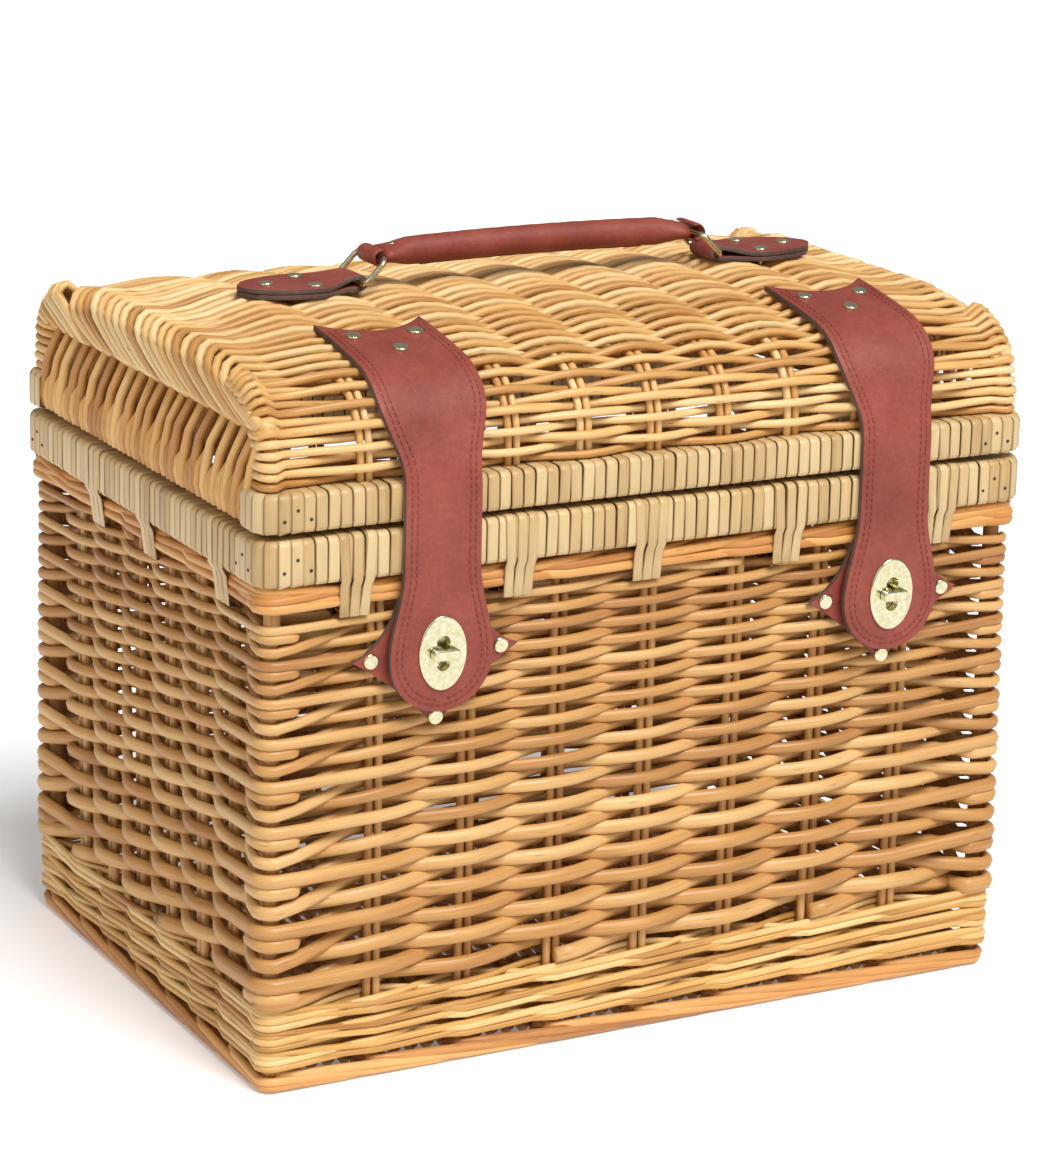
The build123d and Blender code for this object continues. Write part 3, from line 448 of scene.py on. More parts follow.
def split_cane(name):
    """Split cane, scraped flat: pale and smooth with long fibre lines and browner edges."""
    c = cane()
    material, tree = new_material(name)
    fine, tone = rod_coordinates(tree, 0.7, 60.0)
    broad, _ = rod_coordinates(tree, 6.0, 25.0)
    grain = add(tree, "ShaderNodeAttribute", attribute_name="grain")
    streak = add(tree, "ShaderNodeTexNoise", {"Vector": fine, "Scale": 1.0, "Detail": 4.0, "Roughness": 0.7})
    patch = add(tree, "ShaderNodeTexNoise", {"Vector": broad, "Scale": 1.0, "Detail": 2.0})
    level = weigh(tree, tone, 0.45, 0.0)
    level = weigh(tree, streak.outputs["Fac"], 0.45, level)
    level = weigh(tree, patch.outputs["Fac"], 0.30, level)
    stops = [(0.12, linear(c.straw_dark)), (0.42, linear(c.straw_mid)), (0.85, linear(c.straw_light))]
    ramp = set_ramp(add(tree, "ShaderNodeValToRGB", {"Fac": level}), stops)
    split = add(tree, "ShaderNodeSeparateXYZ", {"Vector": grain.outputs["Vector"]})
    side = add(tree, "ShaderNodeMath", {0: split.outputs["X"]}, operation="ABSOLUTE")
    half = c.width / 2
    edge = add(tree, "ShaderNodeMapRange", {"Value": side.outputs[0], "From Min": half * 0.72,
                                            "From Max": half, "To Min": 0.0, "To Max": 0.6})
    edged = add(tree, "ShaderNodeMix", {"Factor": edge.outputs[0], "A": ramp.outputs["Color"],
                                        "B": linear(c.straw_dark)}, data_type="RGBA")
    surface(tree, {"Base Color": edged.outputs["Result"], "Roughness": 0.42, "IOR": 1.5,
                   "Normal": relief(tree, streak.outputs["Fac"], 0.3, 0.3)})
    return material


def tanned_leather(name, light, middle, dark, roughness=0.5):
    """Vegetable tanned hide, dyed terracotta and lightly waxed: pebbled grain under a millimetre across,
    cloudy dye and a low sheen. The pebbles are drawn twice as coarse as real so that they show."""
    material, tree = new_material(name)
    place = add(tree, "ShaderNodeTexCoord").outputs["Object"]
    pebble = add(tree, "ShaderNodeTexVoronoi", {"Vector": place, "Scale": 1 / (1.3 * MM)},
                 feature="DISTANCE_TO_EDGE")
    crease = add(tree, "ShaderNodeTexNoise", {"Vector": place, "Scale": 1 / (2.6 * MM), "Detail": 5.0})
    cloud = add(tree, "ShaderNodeTexNoise", {"Vector": place, "Scale": 1 / (38 * MM), "Detail": 4.0,
                                             "Roughness": 0.6})
    level = weigh(tree, crease.outputs["Fac"], 0.35, 0.0)
    level = weigh(tree, cloud.outputs["Fac"], 0.65, level)
    ramp = set_ramp(add(tree, "ShaderNodeValToRGB", {"Fac": level}),
                    [(0.25, linear(dark)), (0.48, linear(middle)), (0.80, linear(light))])
    pore = add(tree, "ShaderNodeMapRange", {"Value": pebble.outputs["Distance"], "From Min": 0.0,
                                            "From Max": 0.12, "To Min": 0.0, "To Max": 1.0})
    height = weigh(tree, crease.outputs["Fac"], 0.6, pore.outputs[0])
    surface(tree, {"Base Color": ramp.outputs["Color"], "Roughness": roughness, "IOR": 1.48,
                   "Normal": relief(tree, height, 0.4, 0.16)})
    return material


def cast_brass(name):
    """Pale brass plate, tumbled bright and lightly lacquered: a soft greenish gold mirror with fine wear."""
    material, tree = new_material(name)
    place = add(tree, "ShaderNodeTexCoord").outputs["Object"]
    wear = add(tree, "ShaderNodeTexNoise", {"Vector": place, "Scale": 1 / (2.2 * MM), "Detail": 5.0})
    tint = set_ramp(add(tree, "ShaderNodeValToRGB", {"Fac": wear.outputs["Fac"]}),
                    [(0.30, linear("#D2CA98")), (0.62, linear("#E9E4C4"))])
    rough = add(tree, "ShaderNodeMapRange", {"Value": wear.outputs["Fac"], "To Min": 0.14, "To Max": 0.28})
    surface(tree, {"Base Color": tint.outputs["Color"], "Metallic": 1.0, "Roughness": rough.outputs[0]})
    return material


def plain_stick(name, code):
    """Bare willow stick or lath seen only in gaps: brown streaks on its own axes, matt."""
    material, tree = new_material(name)
    place = add(tree, "ShaderNodeTexCoord").outputs["Object"]
    streak = add(tree, "ShaderNodeTexNoise", {"Vector": place, "Scale": 1 / (4 * MM), "Detail": 3.0})
    base = linear(code)
    deep = [c * 0.45 for c in base[:3]] + [1.0]
    ramp = set_ramp(add(tree, "ShaderNodeValToRGB", {"Fac": streak.outputs["Fac"]}),
                    [(0.3, deep), (0.7, base)])
    surface(tree, {"Base Color": ramp.outputs["Color"], "Roughness": 0.6, "IOR": 1.5,
                   "Normal": relief(tree, streak.outputs["Fac"], 0.3, 0.3)})
    return material


def studio_white(name):
    """Seamless matt paper sweep, plain and nearly white. It glows faintly, which is painted light, so that
    shadows on it stay light.
    """
    material, tree = new_material(name)
    surface(tree, {"Base Color": linear("#FBFBFB"), "Roughness": 0.9, "Emission Color": linear("#FFFFFF"),
                   "Emission Strength": 0.16})
    return material


_made = {}


def finish_of(key):
    """Each finish is made once."""
    if key not in _made:
        w, h = weave(), leather()
        makers = {
            "body": lambda: peeled_willow("buff_willow_satin", w.willow_light, w.willow_mid, w.willow_dark),
            "pale": lambda: peeled_willow("buff_willow_pale", "#EFCF92", "#D6A55C", "#A56E30"),
            "wale": lambda: peeled_willow("buff_willow_waling", "#E6B069", "#CC8B45", "#9C5A25"),
            "foot": lambda: peeled_willow("buff_willow_foot", "#E8B572", w.foot_mid, "#9C5F2C", 0.45),
            "lid": lambda: peeled_willow("pale_willow_satin", w.lid_light, w.lid_mid, w.lid_dark),
            "lid_end": lambda: peeled_willow("golden_willow_satin", "#EBC27C", "#D39B52", "#A86D2E"),
            "cane": lambda: split_cane("split_cane_scraped"),
            "leather": lambda: tanned_leather("terracotta_hide_waxed", h.hide_light, h.hide_mid,
                                              h.hide_dark),
            "edge": lambda: tanned_leather("raw_leather_edge", "#7A655B", h.raw_edge, "#3A2A25", 0.75),
            "thread": lambda: tanned_leather("waxed_thread", "#A65647", h.thread, "#5E261E", 0.6),
            "brass": lambda: cast_brass("pale_brass_tumbled"),
            "stick": lambda: plain_stick("bare_willow_stick", "#9A6A38"),
            "nail": lambda: plain_stick("blued_steel_nail", "#3A2A1C"),
            "paper": lambda: studio_white("seamless_paper_painted_glow"),
        }
        _made[key] = makers[key]()
    return _made[key]


# ---------------------------------------------------------------- the body's walls

class Wall:
    """The ring of stakes and corner posts that the body is woven on, anticlockwise from above.

    A place on it is a number: whole numbers are stakes or posts, and what lies between is the wall.
    """

    def __init__(self):
        w = weave()
        low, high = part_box("front_stakes")
        self.stake_radius = (high.y - low.y) / 2
        self.post_y = -(low.y + high.y) / 2
        pair = w.pair_half + self.stake_radius
        gaps = w.front_pairs - 1
        front = [mix(low.x + pair, high.x - pair, i / gaps) for i in range(w.front_pairs)]
        low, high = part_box("end_stakes")
        self.post_x = high.x - self.stake_radius
        gaps = w.end_pairs - 1
        ends = [mix(low.y + pair, high.y - pair, i / gaps) for i in range(w.end_pairs)]
        self.post_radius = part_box("corner_posts")[1].x - self.post_x
        south, north = Vector((0, FRONT, 0)), Vector((0, REAR, 0))
        west, east = Vector((LEFT, 0, 0)), Vector((RIGHT, 0, 0))
        x, y = self.post_x, self.post_y
        # Each entry: place, outward direction of the wall before it, and of the wall after it.
        self.stations = [(Vector((-x, -y, 0)), west, south)]
        self.stations += [(Vector((u, -y, 0)), south, south) for u in front]
        self.stations += [(Vector((x, -y, 0)), south, east)]
        self.stations += [(Vector((x, v, 0)), east, east) for v in ends]
        self.stations += [(Vector((x, y, 0)), east, north)]
        self.stations += [(Vector((u, y, 0)), north, north) for u in reversed(front)]
        self.stations += [(Vector((-x, y, 0)), north, west)]
        self.stations += [(Vector((-x, v, 0)), west, west) for v in reversed(ends)]
        self.count = len(self.stations)

    def station(self, j):
        """Place and outward directions of a stake pair or post. The numbers go on round the ring."""
        return self.stations[j % self.count]

    def is_corner(self, j):
        """Whether this station is a corner post."""
        _, before, after = self.station(j)
        return before != after

    def places(self, u, out):
        """Points at place u on the wall, out metres outside its middle. A corner gives an arc."""
        j = floor(u + 1e-6)
        part = u - j
        point, before, after = self.station(j)
        if part > 1e-4:
            following = self.station(j + 1)[0]
            return [mix(point, following, part) + after * out]
        if before == after:
            return [point + after * out]
        if out < 0:
            return [point + (before + after).normalized() * out]
        turn = [radians(a) for a in (4, 31, 59, 86)]
        return [point + (before * cos(a) + after * sin(a)) * out for a in turn]

    def line(self, marks, samples):
        """A rod's line through marks of (place, out, height), easing from mark to mark."""
        points = []
        for (u0, out0, z0), (u1, out1, z1) in zip(marks, marks[1:]):
            for k in range(samples):
                t = k / samples
                for point in self.places(mix(u0, u1, t), mix(out0, out1, swing(t))):
                    points.append(point + UP * mix(z0, z1, t))
        u, out, z = marks[-1]
        points += [point + UP * z for point in self.places(u, out)]
        return points


def wall_rows():
    """Heights of the wall's rows and their rod radii, thick and wide apart below, finer above."""
    w = weave()
    low, high = span("front_weave", "rear_weave", "left_weave", "right_weave")
    waling_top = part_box("bottom_wale")[0].z + FOOT_WALES * w.foot_wale_rise
    heights, radii = [waling_top + w.butt * 0.7], [w.butt]
    while heights[-1] < high.z - w.tip:
        share = (heights[-1] - low.z) / (high.z - low.z)
        radii.append(mix(w.butt, w.tip, share ** 1.1))
        heights.append(heights[-1] + 2 * radii[-1] * w.row_spacing)
    return heights, radii


def at_row(values, row):
    """A list's value at a row that may lie between two whole ones."""
    row = min(max(row, 0.0), len(values) - 1.001)
    k = int(row)
    return mix(values[k], values[k + 1], row - k)


def corner_marks(wall, n, pattern, row, heights, radius):
    """Marks where a rod meets a corner post. Rods that lie behind the next stakes still wrap the post's
    outside, and every second of them dives in at once, so that the corner is closed and its edge thick."""
    outside = pattern != 3
    shift = (-1.15, 0.35, -1.6, -0.8)[pattern]
    z = at_row(heights, row + shift)
    out = wall.post_radius + radius * (0.95 if outside else 0.8)
    if not outside:
        return [(n, -out, z)]
    if pattern != 2:
        return [(n, out, z)]
    before = (wall.station(n)[0] - wall.station(n - 1)[0]).length
    after = (wall.station(n + 1)[0] - wall.station(n)[0]).length
    turn, dive, depth = 8 * MM, 15 * MM, 2 * MM
    return [(n - dive / before, -depth, z), (n - turn / before, out, z), (n, out, z),
            (n + turn / after, out, z), (n + dive / after, -depth, z)]


def weave_walls():
    """Slow spirals side by side: each rod passes over one stake pair and behind the next, and climbs a
    third of a row from pair to pair. Rods end and begin behind a pair."""
    w = weave()
    wall = Wall()
    heights, radii = wall_rows()
    bundle = Bundle("woven_walls", 11)
    random = bundle.random
    climb = w.spirals / wall.count
    for spiral in range(w.spirals):
        n = -floor(spiral / climb)
        marks, thick, wanted = [], [], random.randint(8, 22)
        while spiral + climb * n < len(heights) - 1:
            row = spiral + climb * n
            radius = at_row(radii, row)
            order = spiral + w.spirals * (n // wall.count) + n % wall.count
            if wall.is_corner(n):
                found = corner_marks(wall, n, order % 4, row, heights, radius)
            else:
                side = 1 if order % 2 == 0 else -1
                out = (wall.stake_radius + radius * random.uniform(0.82, 0.98)) * side
                found = [(n, out, at_row(heights, row) + random.uniform(-0.5, 0.5) * MM)]
            marks += found
            thick += [radius] * len(found)
            behind = not wall.is_corner(n) and order % 2 == 1
            if behind and len(marks) > wanted:
                lay_wall_rod(bundle, wall, marks, thick)
                marks, thick, wanted = [marks[-1]], [radius], random.randint(12, 24)
            n += 1
        if len(marks) > 1:
            lay_wall_rod(bundle, wall, marks, thick)
    return bundle.finish(finish_of("body"), "basket",
                         ("front_weave", "rear_weave", "left_weave", "right_weave"), "willow_body")


def lay_wall_rod(bundle, wall, marks, thick):
    """One rod of the wall, a little taller than deep where its neighbours squeeze it."""
    points = wall.line(marks, 5)
    girth = bundle.random.uniform(0.93, 1.05)
    steps = len(points) - 1
    girths = [mix(thick[0], thick[-1], i / steps) * girth for i in range(steps + 1)]
    # The rows are beaten down tighter towards the rear right corner, where hardly any light passes.
    shares = [min(max((point.x * 0.5 + point.y) / (150 * MM), 0.0), 1.0) for point in points]
    bundle.rod(points, [(g * 0.94, g * mix(1.14, 1.46, share)) for g, share in zip(girths, shares)])


def waling(name, node, rows, rise, radius, slope, twins, material, seed):
    """Three-strand waling: each strand passes in front of two stake pairs and behind one. A strand may be
    two rods laid side by side."""
    wall = Wall()
    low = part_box(node)[0]
    bundle = Bundle(name, seed)
    random = bundle.random
    lift = rise * slope
    for row in range(rows):
        z_row = low.z + rise * (row + 0.5)
        for strand in range(3):
            for twin in range(twins):
                marks = []
                z_twin = z_row + (twin - (twins - 1) / 2) * 1.85 * radius
                for j in range(REAR_STATION, REAR_STATION + wall.count + 1):
                    phase = (j - strand - row) % 3
                    corner = wall.is_corner(j)
                    core = wall.post_radius if corner else wall.stake_radius
                    inside = phase == 2 and not corner
                    out = core + radius * (1.0 + 0.5 * (phase == 0))
                    z = z_twin + lift * (phase - 1) + random.uniform(-0.3, 0.3) * MM
                    marks.append((j, -out if inside else out, max(z, low.z + radius)))
                bundle.rod(wall.line(marks, 4), radius * random.uniform(0.92, 1.06), start=random.random())
    return bundle.finish(finish_of(material), "basket", (node,), "willow_body")


def plait_foot():
    """Foot border: each stake comes out at the top of the border, runs outside two pairs while it sinks
    under the ones that follow, and goes in again at the bottom."""
    w = weave()
    wall = Wall()
    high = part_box("foot_border")[1]
    bundle = Bundle("foot_border_plait", 23)
    random = bundle.random
    r = w.border_rod
    out = wall.stake_radius + r
    top = high.z - r * 1.4
    for j in range(wall.count):
        shift = random.uniform(-0.05, 0.05)
        marks = [
            (j - 0.12 + shift, -out, top), (j + 0.03 + shift, out * 0.5, top),
            (j + 0.30 + shift, out * 1.0, top - 0.2 * MM), (j + 1.0, out * 1.15, mix(top, r, 0.30)),
            (j + 2.0, out * 1.05, mix(top, r, 0.85)), (j + 2.7, out * 0.95, r),
            (j + 3.1, -out * 0.2, r), (j + 3.3, -out, r),
        ]
        for twin in (0, 1):
            depth = -1.35 * r * twin
            line = [(u, o + depth, max(z - 0.9 * r * twin, r)) for u, o, z in marks]
            points = wall.line(line, 4)
            steps = len(points) - 1
            thick = [r * mix(1.06, 0.74, i / steps) for i in range(steps + 1)]
            bundle.rod(points, thick, start=random.random())
    return bundle.finish(finish_of("foot"), "basket", ("foot_border",), "willow_foot")


def set_stakes():
    """Stake pairs and corner posts, seen between the strokes of the weave."""
    w = weave()
    wall = Wall()
    low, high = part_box("corner_posts")
    foot = 6 * MM           # they reach this far down into the foot border
    bundle = Bundle("stakes_and_posts", 31)
    random = bundle.random
    for j in range(wall.count):
        point, _, after = wall.station(j)
        if wall.is_corner(j):
            places = [(point, wall.post_radius)]
        else:
            along = Vector((-after.y, after.x, 0))
            places = [(point + along * (w.pair_half * s), wall.stake_radius) for s in (-1, 1)]
        for place, radius in places:
            heights = [mix(low.z - foot, high.z, i / 8) for i in range(9)]
            points = [place + UP * z + after * random.uniform(-0.2, 0.2) * MM for z in heights]
            bundle.rod(points, radius * random.uniform(0.94, 1.02))
    return bundle.finish(finish_of("body"), "basket",
                         ("front_stakes", "rear_stakes", "end_stakes", "corner_posts"), "willow_stick")


def weave_base():
    """Base: sticks along the length, woven over and under with rods across it."""
    w = weave()
    low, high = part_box("base_panel")
    stick_low, stick_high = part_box("base_sticks")
    stick = (stick_high.z - stick_low.z) / 2
    middle = (low.z + high.z) / 2
    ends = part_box("end_stakes")
    pair = w.pair_half + stick
    first, last, gaps = ends[0].y + pair, ends[1].y - pair, w.end_pairs - 1
    rows = [mix(first, last, i / gaps) for i in range(w.end_pairs)]
    rows = [stick_low.y + stick] + rows + [stick_high.y - stick]
    bundle = Bundle("base_weave", 41)
    random = bundle.random
    for y in rows:
        bundle.rod([Vector((mix(low.x, high.x, i / 6), y, middle)) for i in range(7)], stick, SLIM)
    reach = stick + w.base_rod * 0.92
    count = int((high.x - low.x) / (2 * w.base_rod * 1.1))
    for i in range(count):
        x = mix(low.x, high.x, (i + 0.5) / count)
        marks = [(low.y, 0.0)]
        for n, y in enumerate(rows):
            marks.append((y, reach if (n + i) % 2 else -reach))
        marks.append((high.y, 0.0))
        points = []
        for (y0, z0), (y1, z1) in zip(marks, marks[1:]):
            for k in range(3):
                points.append(Vector((x, mix(y0, y1, k / 3), middle + mix(z0, z1, swing(k / 3)))))
        points.append(Vector((x, high.y, middle)))
        bundle.rod(points, w.base_rod * random.uniform(0.9, 1.05), SLIM)
    return bundle.finish(finish_of("body"), "basket", ("base_panel", "base_sticks"), "willow_body")


# ---------------------------------------------------------------- cane on the rims

def rim_loop(half, bottom, top):
    """The line of a cane strip round a rim, as (outward, height) points and their outward directions.
    It starts and ends under the rim, where the overlap is hidden."""
    corner = cane().rounding
    h = corner * 0.3
    return [
        ((-half * 0.3, bottom), (0, -1)), ((-half + h, bottom + h), (-0.7, -0.7)),
        ((-half, bottom + corner), (-1, 0)), ((-half, top - corner), (-1, 0)),
        ((-half + h, top - h), (-0.7, 0.7)), ((-half + corner, top), (0, 1)),
        ((half - corner, top), (0, 1)), ((half - h, top - h), (0.7, 0.7)),
        ((half, top - corner), (1, 0)), ((half, bottom + corner), (1, 0)),
        ((half - h, bottom + h), (0.7, -0.7)), ((half * 0.3, bottom), (0, -1)),
    ]


def tie_loop(half, wall_half, bottom, top, drop):
    """A longer strip that goes down the wall's outside, through it, and up its inside."""
    low = bottom - drop
    start = bottom + cane().rounding * 0.4
    loop = rim_loop(half, bottom, top)[2:10]
    loop[0] = ((-half, start), (-1, 0))
    loop[-1] = ((half, start), (1, 0))
    down = [((wall_half + 3.2 * MM, bottom - 3 * MM), (1, -0.3)),
            ((wall_half + 2.2 * MM, mix(bottom, low, 0.5)), (1, 0)),
            ((wall_half + 1.4 * MM, low + 2 * MM), (1, 0.1)), ((wall_half * 0.4, low), (0.3, 1))]
    up = [((-wall_half * 0.4, low), (-0.3, 1)), ((-wall_half - 1.4 * MM, low + 2 * MM), (-1, 0.1)),
          ((-wall_half - 3.2 * MM, bottom - 3 * MM), (-1, -0.3))]
    return up + loop + down


def bind(bundle, loop, middle, outward, along, width, lean=0.0, fan=1.0, normal=None):
    """One strip of cane round a rim. middle is on the rim's middle line at height zero. fan is its width
    inside as a part of its width outside. On a corner the rim's outside faces along normal, which may
    differ from outward, the way the strip runs over the top."""
    normal = normal or outward
    thickness = cane().thickness / 2
    half = abs(loop[3][0][0])
    points, facing, radii = [], [], []
    for (out, z), (normal_out, normal_z) in loop:
        points.append(middle + outward * out + UP * z + along * (lean * (z - loop[0][0][1])))
        facing.append((normal * normal_out + UP * normal_z).normalized())
        radii.append((width / 2 * mix(fan, 1.0, (out + half) / (2 * half)), thickness))
    bundle.rod(points, radii, STRIP, facing, start=bundle.random.random())


def strips_along(bundle, loop, start, end, outward):
    """Close-set strips from start to end along one side of a rim."""
    c = cane()
    run = end - start
    along = run.normalized()
    count = round(run.length / c.width)
    pitch = run.length / count
    for i in range(count):
        wobble = bundle.random.uniform(-0.25, 0.25) * MM
        middle = start + along * (pitch * (i + 0.5)) + outward * wobble
        width = pitch * bundle.random.uniform(0.93, 1.02)
        bind(bundle, loop, middle, outward, along, width, bundle.random.uniform(-0.02, 0.02))


def round_corner(x, y, depth, radius, share):
    """A place on a rim's rounded corner in the first quadrant and its normal. share runs from 0 on the
    long side, depth before the corner, to 1 on the short side."""
    flat = depth - radius
    arc = radius * radians(90)
    s = share * (2 * flat + arc)
    if s <= flat:
        return Vector((x - depth + s, y, 0)), Vector((0, 1, 0))
    if s >= flat + arc:
        return Vector((x, y - radius - (s - flat - arc), 0)), Vector((1, 0, 0))
    turn = (s - flat) / radius
    normal = Vector((sin(turn), cos(turn), 0))
    return Vector((x - radius, y - radius, 0)) + normal * radius, normal


def corner_fan(bundle, half, bottom, top, x, y, sx, sy):
    """Strips fanned round a rim's corner, narrow inside and wide outside."""
    c = cane()
    mirror = Matrix.Diagonal((sx, sy, 1))
    inner = mirror @ Vector((x - 2 * half, y - 2 * half, 0))
    run = 2 * (2 * half - c.corner_radius) + c.corner_radius * radians(90)
    for i in range(c.corner_strips):
        share = (i + 0.5) / c.corner_strips
        place, normal = round_corner(x, y, 2 * half, c.corner_radius, share)
        place, normal = mirror @ place, mirror @ normal
        outward = (place - inner).normalized()
        reach = (place - inner).length
        along = UP.cross(outward)
        loop = rim_loop(reach / 2, bottom, top)
        width = run / c.corner_strips * 1.08
        bind(bundle, loop, inner + outward * (reach / 2), outward, along, width, 0.0, 0.12, normal)


def outer_laths(part, body, seed, ends):
    """The rim's outer laths, steamed round the corners. They show in the slits between the strips. The
    body's laths run all round, the lid's stop on its ends."""
    node = part + "_rim_outer_laths"
    low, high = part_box(node)
    thick = cane().lath
    depth = 8 * thick
    radius = cane().corner_radius - 2 * thick
    quarter = [round_corner(high.x - thick, high.y - thick, depth, radius, k / 10) for k in range(11)]
    sides = []
    for sy in (FRONT, REAR):
        line = []
        for sx in SIDES:
            mirror = Matrix.Diagonal((sx, sy, 1))
            bend = [(mirror @ place, mirror @ normal) for place, normal in quarter]
            line += list(reversed(bend)) if sx == LEFT else bend
        sides.append(line)
    if ends:
        sides = [sides[0] + list(reversed(sides[1])) + sides[0][:1]]
    bundle = Bundle(part + "_rim_laths", seed)
    for line in sides:
        points = [place + UP * ((low.z + high.z) / 2) for place, _ in line]
        bundle.rod(points, ((high.z - low.z) / 2, thick * 0.9), STRIP, [normal for _, normal in line])
    return bundle.finish(finish_of("stick"), body, (node,))


def rim_frame(node):
    """Half length, half depth, bottom, top and half thickness of a cane-wrapped rim."""
    low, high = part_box(node)
    return high.x, high.y, low.z, high.z, high.y - Wall().post_y


def wrap_rim(part, body, seed, ends):
    """Cane strips side by side round a rim and fanned at its corners. The lid's ends have no strips."""
    binding = part + "_rim_corner_bindings"
    x, y, bottom, top, half = rim_frame(binding)
    skin = cane().thickness / 2
    half -= skin
    mid_x, mid_y = x - skin - half, y - skin - half
    short_x, short_y = x - 2 * half, y - 2 * half
    bottom, top = bottom + skin, top - skin
    loop = rim_loop(half, bottom, top)
    bundle = Bundle(part + "_rim_cane", seed)
    for sy in (FRONT, REAR):
        start, end = Vector((-short_x, sy * mid_y, 0)), Vector((short_x, sy * mid_y, 0))
        strips_along(bundle, loop, start, end, Vector((0, sy, 0)))
    for sx in SIDES if ends else ():
        start, end = Vector((sx * mid_x, -short_y, 0)), Vector((sx * mid_x, short_y, 0))
        strips_along(bundle, loop, start, end, Vector((sx, 0, 0)))
    for sx, sy in CORNERS:
        corner_fan(bundle, half, bottom, top, x - skin, y - skin, sx, sy)
    return bundle.finish(finish_of("cane"), body, (part + "_rim_wrap", binding), "cane")


def tie_rim():
    """Cane ties that pull the rim down on to the walls."""
    c = cane()
    x, y, bottom, top, half = rim_frame("body_rim_corner_bindings")
    wall_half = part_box("top_wale")[1].y - Wall().post_y
    mid_x, mid_y = x - half, y - half
    loop = tie_loop(half, wall_half + 0.6 * MM, bottom, top, c.tie_drop)
    bundle = Bundle("body_rim_ties_cane", 57)
    random = bundle.random
    spots = []
    for share in LONG_TIES:
        for sy in (FRONT, REAR):
            spots.append((Vector((share * x, sy * mid_y, 0)), Vector((0, sy, 0))))
    for share in SHORT_TIES:
        for sx in SIDES:
            spots.append((Vector((sx * mid_x, share * y, 0)), Vector((sx, 0, 0))))
    for middle, outward in spots:
        along = UP.cross(outward)
        for s in (-1, 0, 1):
            place = middle + along * (s * c.tie_strip) + outward * (0.15 * MM * (s == 0))
            lean = 0.035 * s + random.uniform(-0.02, 0.02)
            bind(bundle, loop, place, outward, along, c.tie_strip * 1.04, lean)
    return bundle.finish(finish_of("cane"), "basket", ("body_rim_ties",), "cane")


def corner_nails(part, body, seed, ends):
    """Small nails that hold the cane bindings at the corners, three on each face."""
    x, y, bottom, top, _ = rim_frame(part + "_rim_corner_bindings")
    proud, nail = 0.1 * MM, cane().nail
    bundle = Bundle(part + "_rim_nails", seed)
    for sx, sy in CORNERS:
        for inset, share in ((13, 0.35), (20, 0.6), (27, 0.35)):
            z = mix(bottom, top, share)
            place = Vector((sx * (x - inset * MM), sy * (y + proud), z))
            bundle.head(place, nail, 0.5, Vector((0, sy, 0)))
            if ends:
                place = Vector((sx * (x + proud), sy * (y - inset * MM), z))
                bundle.head(place, nail, 0.5, Vector((sx, 0, 0)))
    return bundle.finish(finish_of("nail"), body, (), "cane")


# ---------------------------------------------------------------- the lid

class LidForm:
    """The lid's outline from its front rim, up the shoulder, over the dome and down to its rear rim."""

    def __init__(self):
        w = weave()
        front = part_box("lid_front_weave")
        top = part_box("lid_top_weave")
        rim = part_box("lid_rim_corner_bindings")
        self.wall_y = -front[0].y
        self.shoulder_y = -top[0].y
        self.radius = self.wall_y - self.shoulder_y
        self.rim_top = rim[1].z
        self.rim_bottom = rim[0].z
        self.shoulder_z = self.rim_top + w.shoulder_rise
        self.crown = top[1].z
        low, high = 0.01, 0.6
        for _ in range(50):
            angle = (low + high) / 2
            big = self.radius + self.shoulder_y / sin(angle)
            reach = self.shoulder_z + self.radius * cos(angle) + big * (1 - cos(angle))
            low, high = (angle, high) if reach < self.crown else (low, angle)
        self.angle = angle
        self.big = big
        self.centre_z = self.crown - big
        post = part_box("lid_corner_posts")[1]
        self.post_radius = w.lid_post
        self.post_x = post.x - self.post_radius
        self.post_y = post.y - self.post_radius
        self.inset = w.lid_inset
        self.seam_z = self.crown - w.seam_drop
        self.turn_x = self.post_x + self.inset
        self.edge_z = self.crown - 10 * MM

    def total(self):
        """Length of the middle line of the weave from the front rim to the rear rim."""
        r, big = self.radius - self.inset, self.big - self.inset
        return 2 * (self.shoulder_z - self.rim_top) + 2 * r * (pi / 2 - self.angle) + 2 * big * self.angle

    def at(self, s):
        """Point (y, z) and outward direction on the middle of the weave, s along it from the front rim."""
        whole = self.total()
        if s > whole / 2:
            (y, z), (ny, nz) = self.at(whole - s)
            return (-y, z), (-ny, nz)
        r, big = self.radius - self.inset, self.big - self.inset
        rise = self.shoulder_z - self.rim_top
        if s < rise:
            return (-self.wall_y + self.inset, self.rim_top + s), (-1.0, 0.0)
        s -= rise
        bend = r * (pi / 2 - self.angle)
        if s < bend:
            a = pi / 2 - s / r
            return (-self.shoulder_y - r * sin(a), self.shoulder_z + r * cos(a)), (-sin(a), cos(a))
        a = self.angle - (s - bend) / big
        return (-big * sin(a), self.centre_z + big * cos(a)), (-sin(a), cos(a))

    def lower(self, point):
        """The dome flattens towards the lid's ends."""
        start = self.turn_x - 62 * MM
        share = ease((abs(point.x) - start) / (48 * MM))
        if point.z > self.edge_z:
            point.z -= share * (point.z - self.edge_z)
        return point


def lid_stake_places():
    """Where the lid's stake pairs stand along its length."""
    w = weave()
    low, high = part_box("lid_stakes")
    pair = w.lid_pair_half + w.lid_stake
    return [mix(low.x + pair, high.x - pair, i / (w.lid_pairs - 1)) for i in range(w.lid_pairs)]


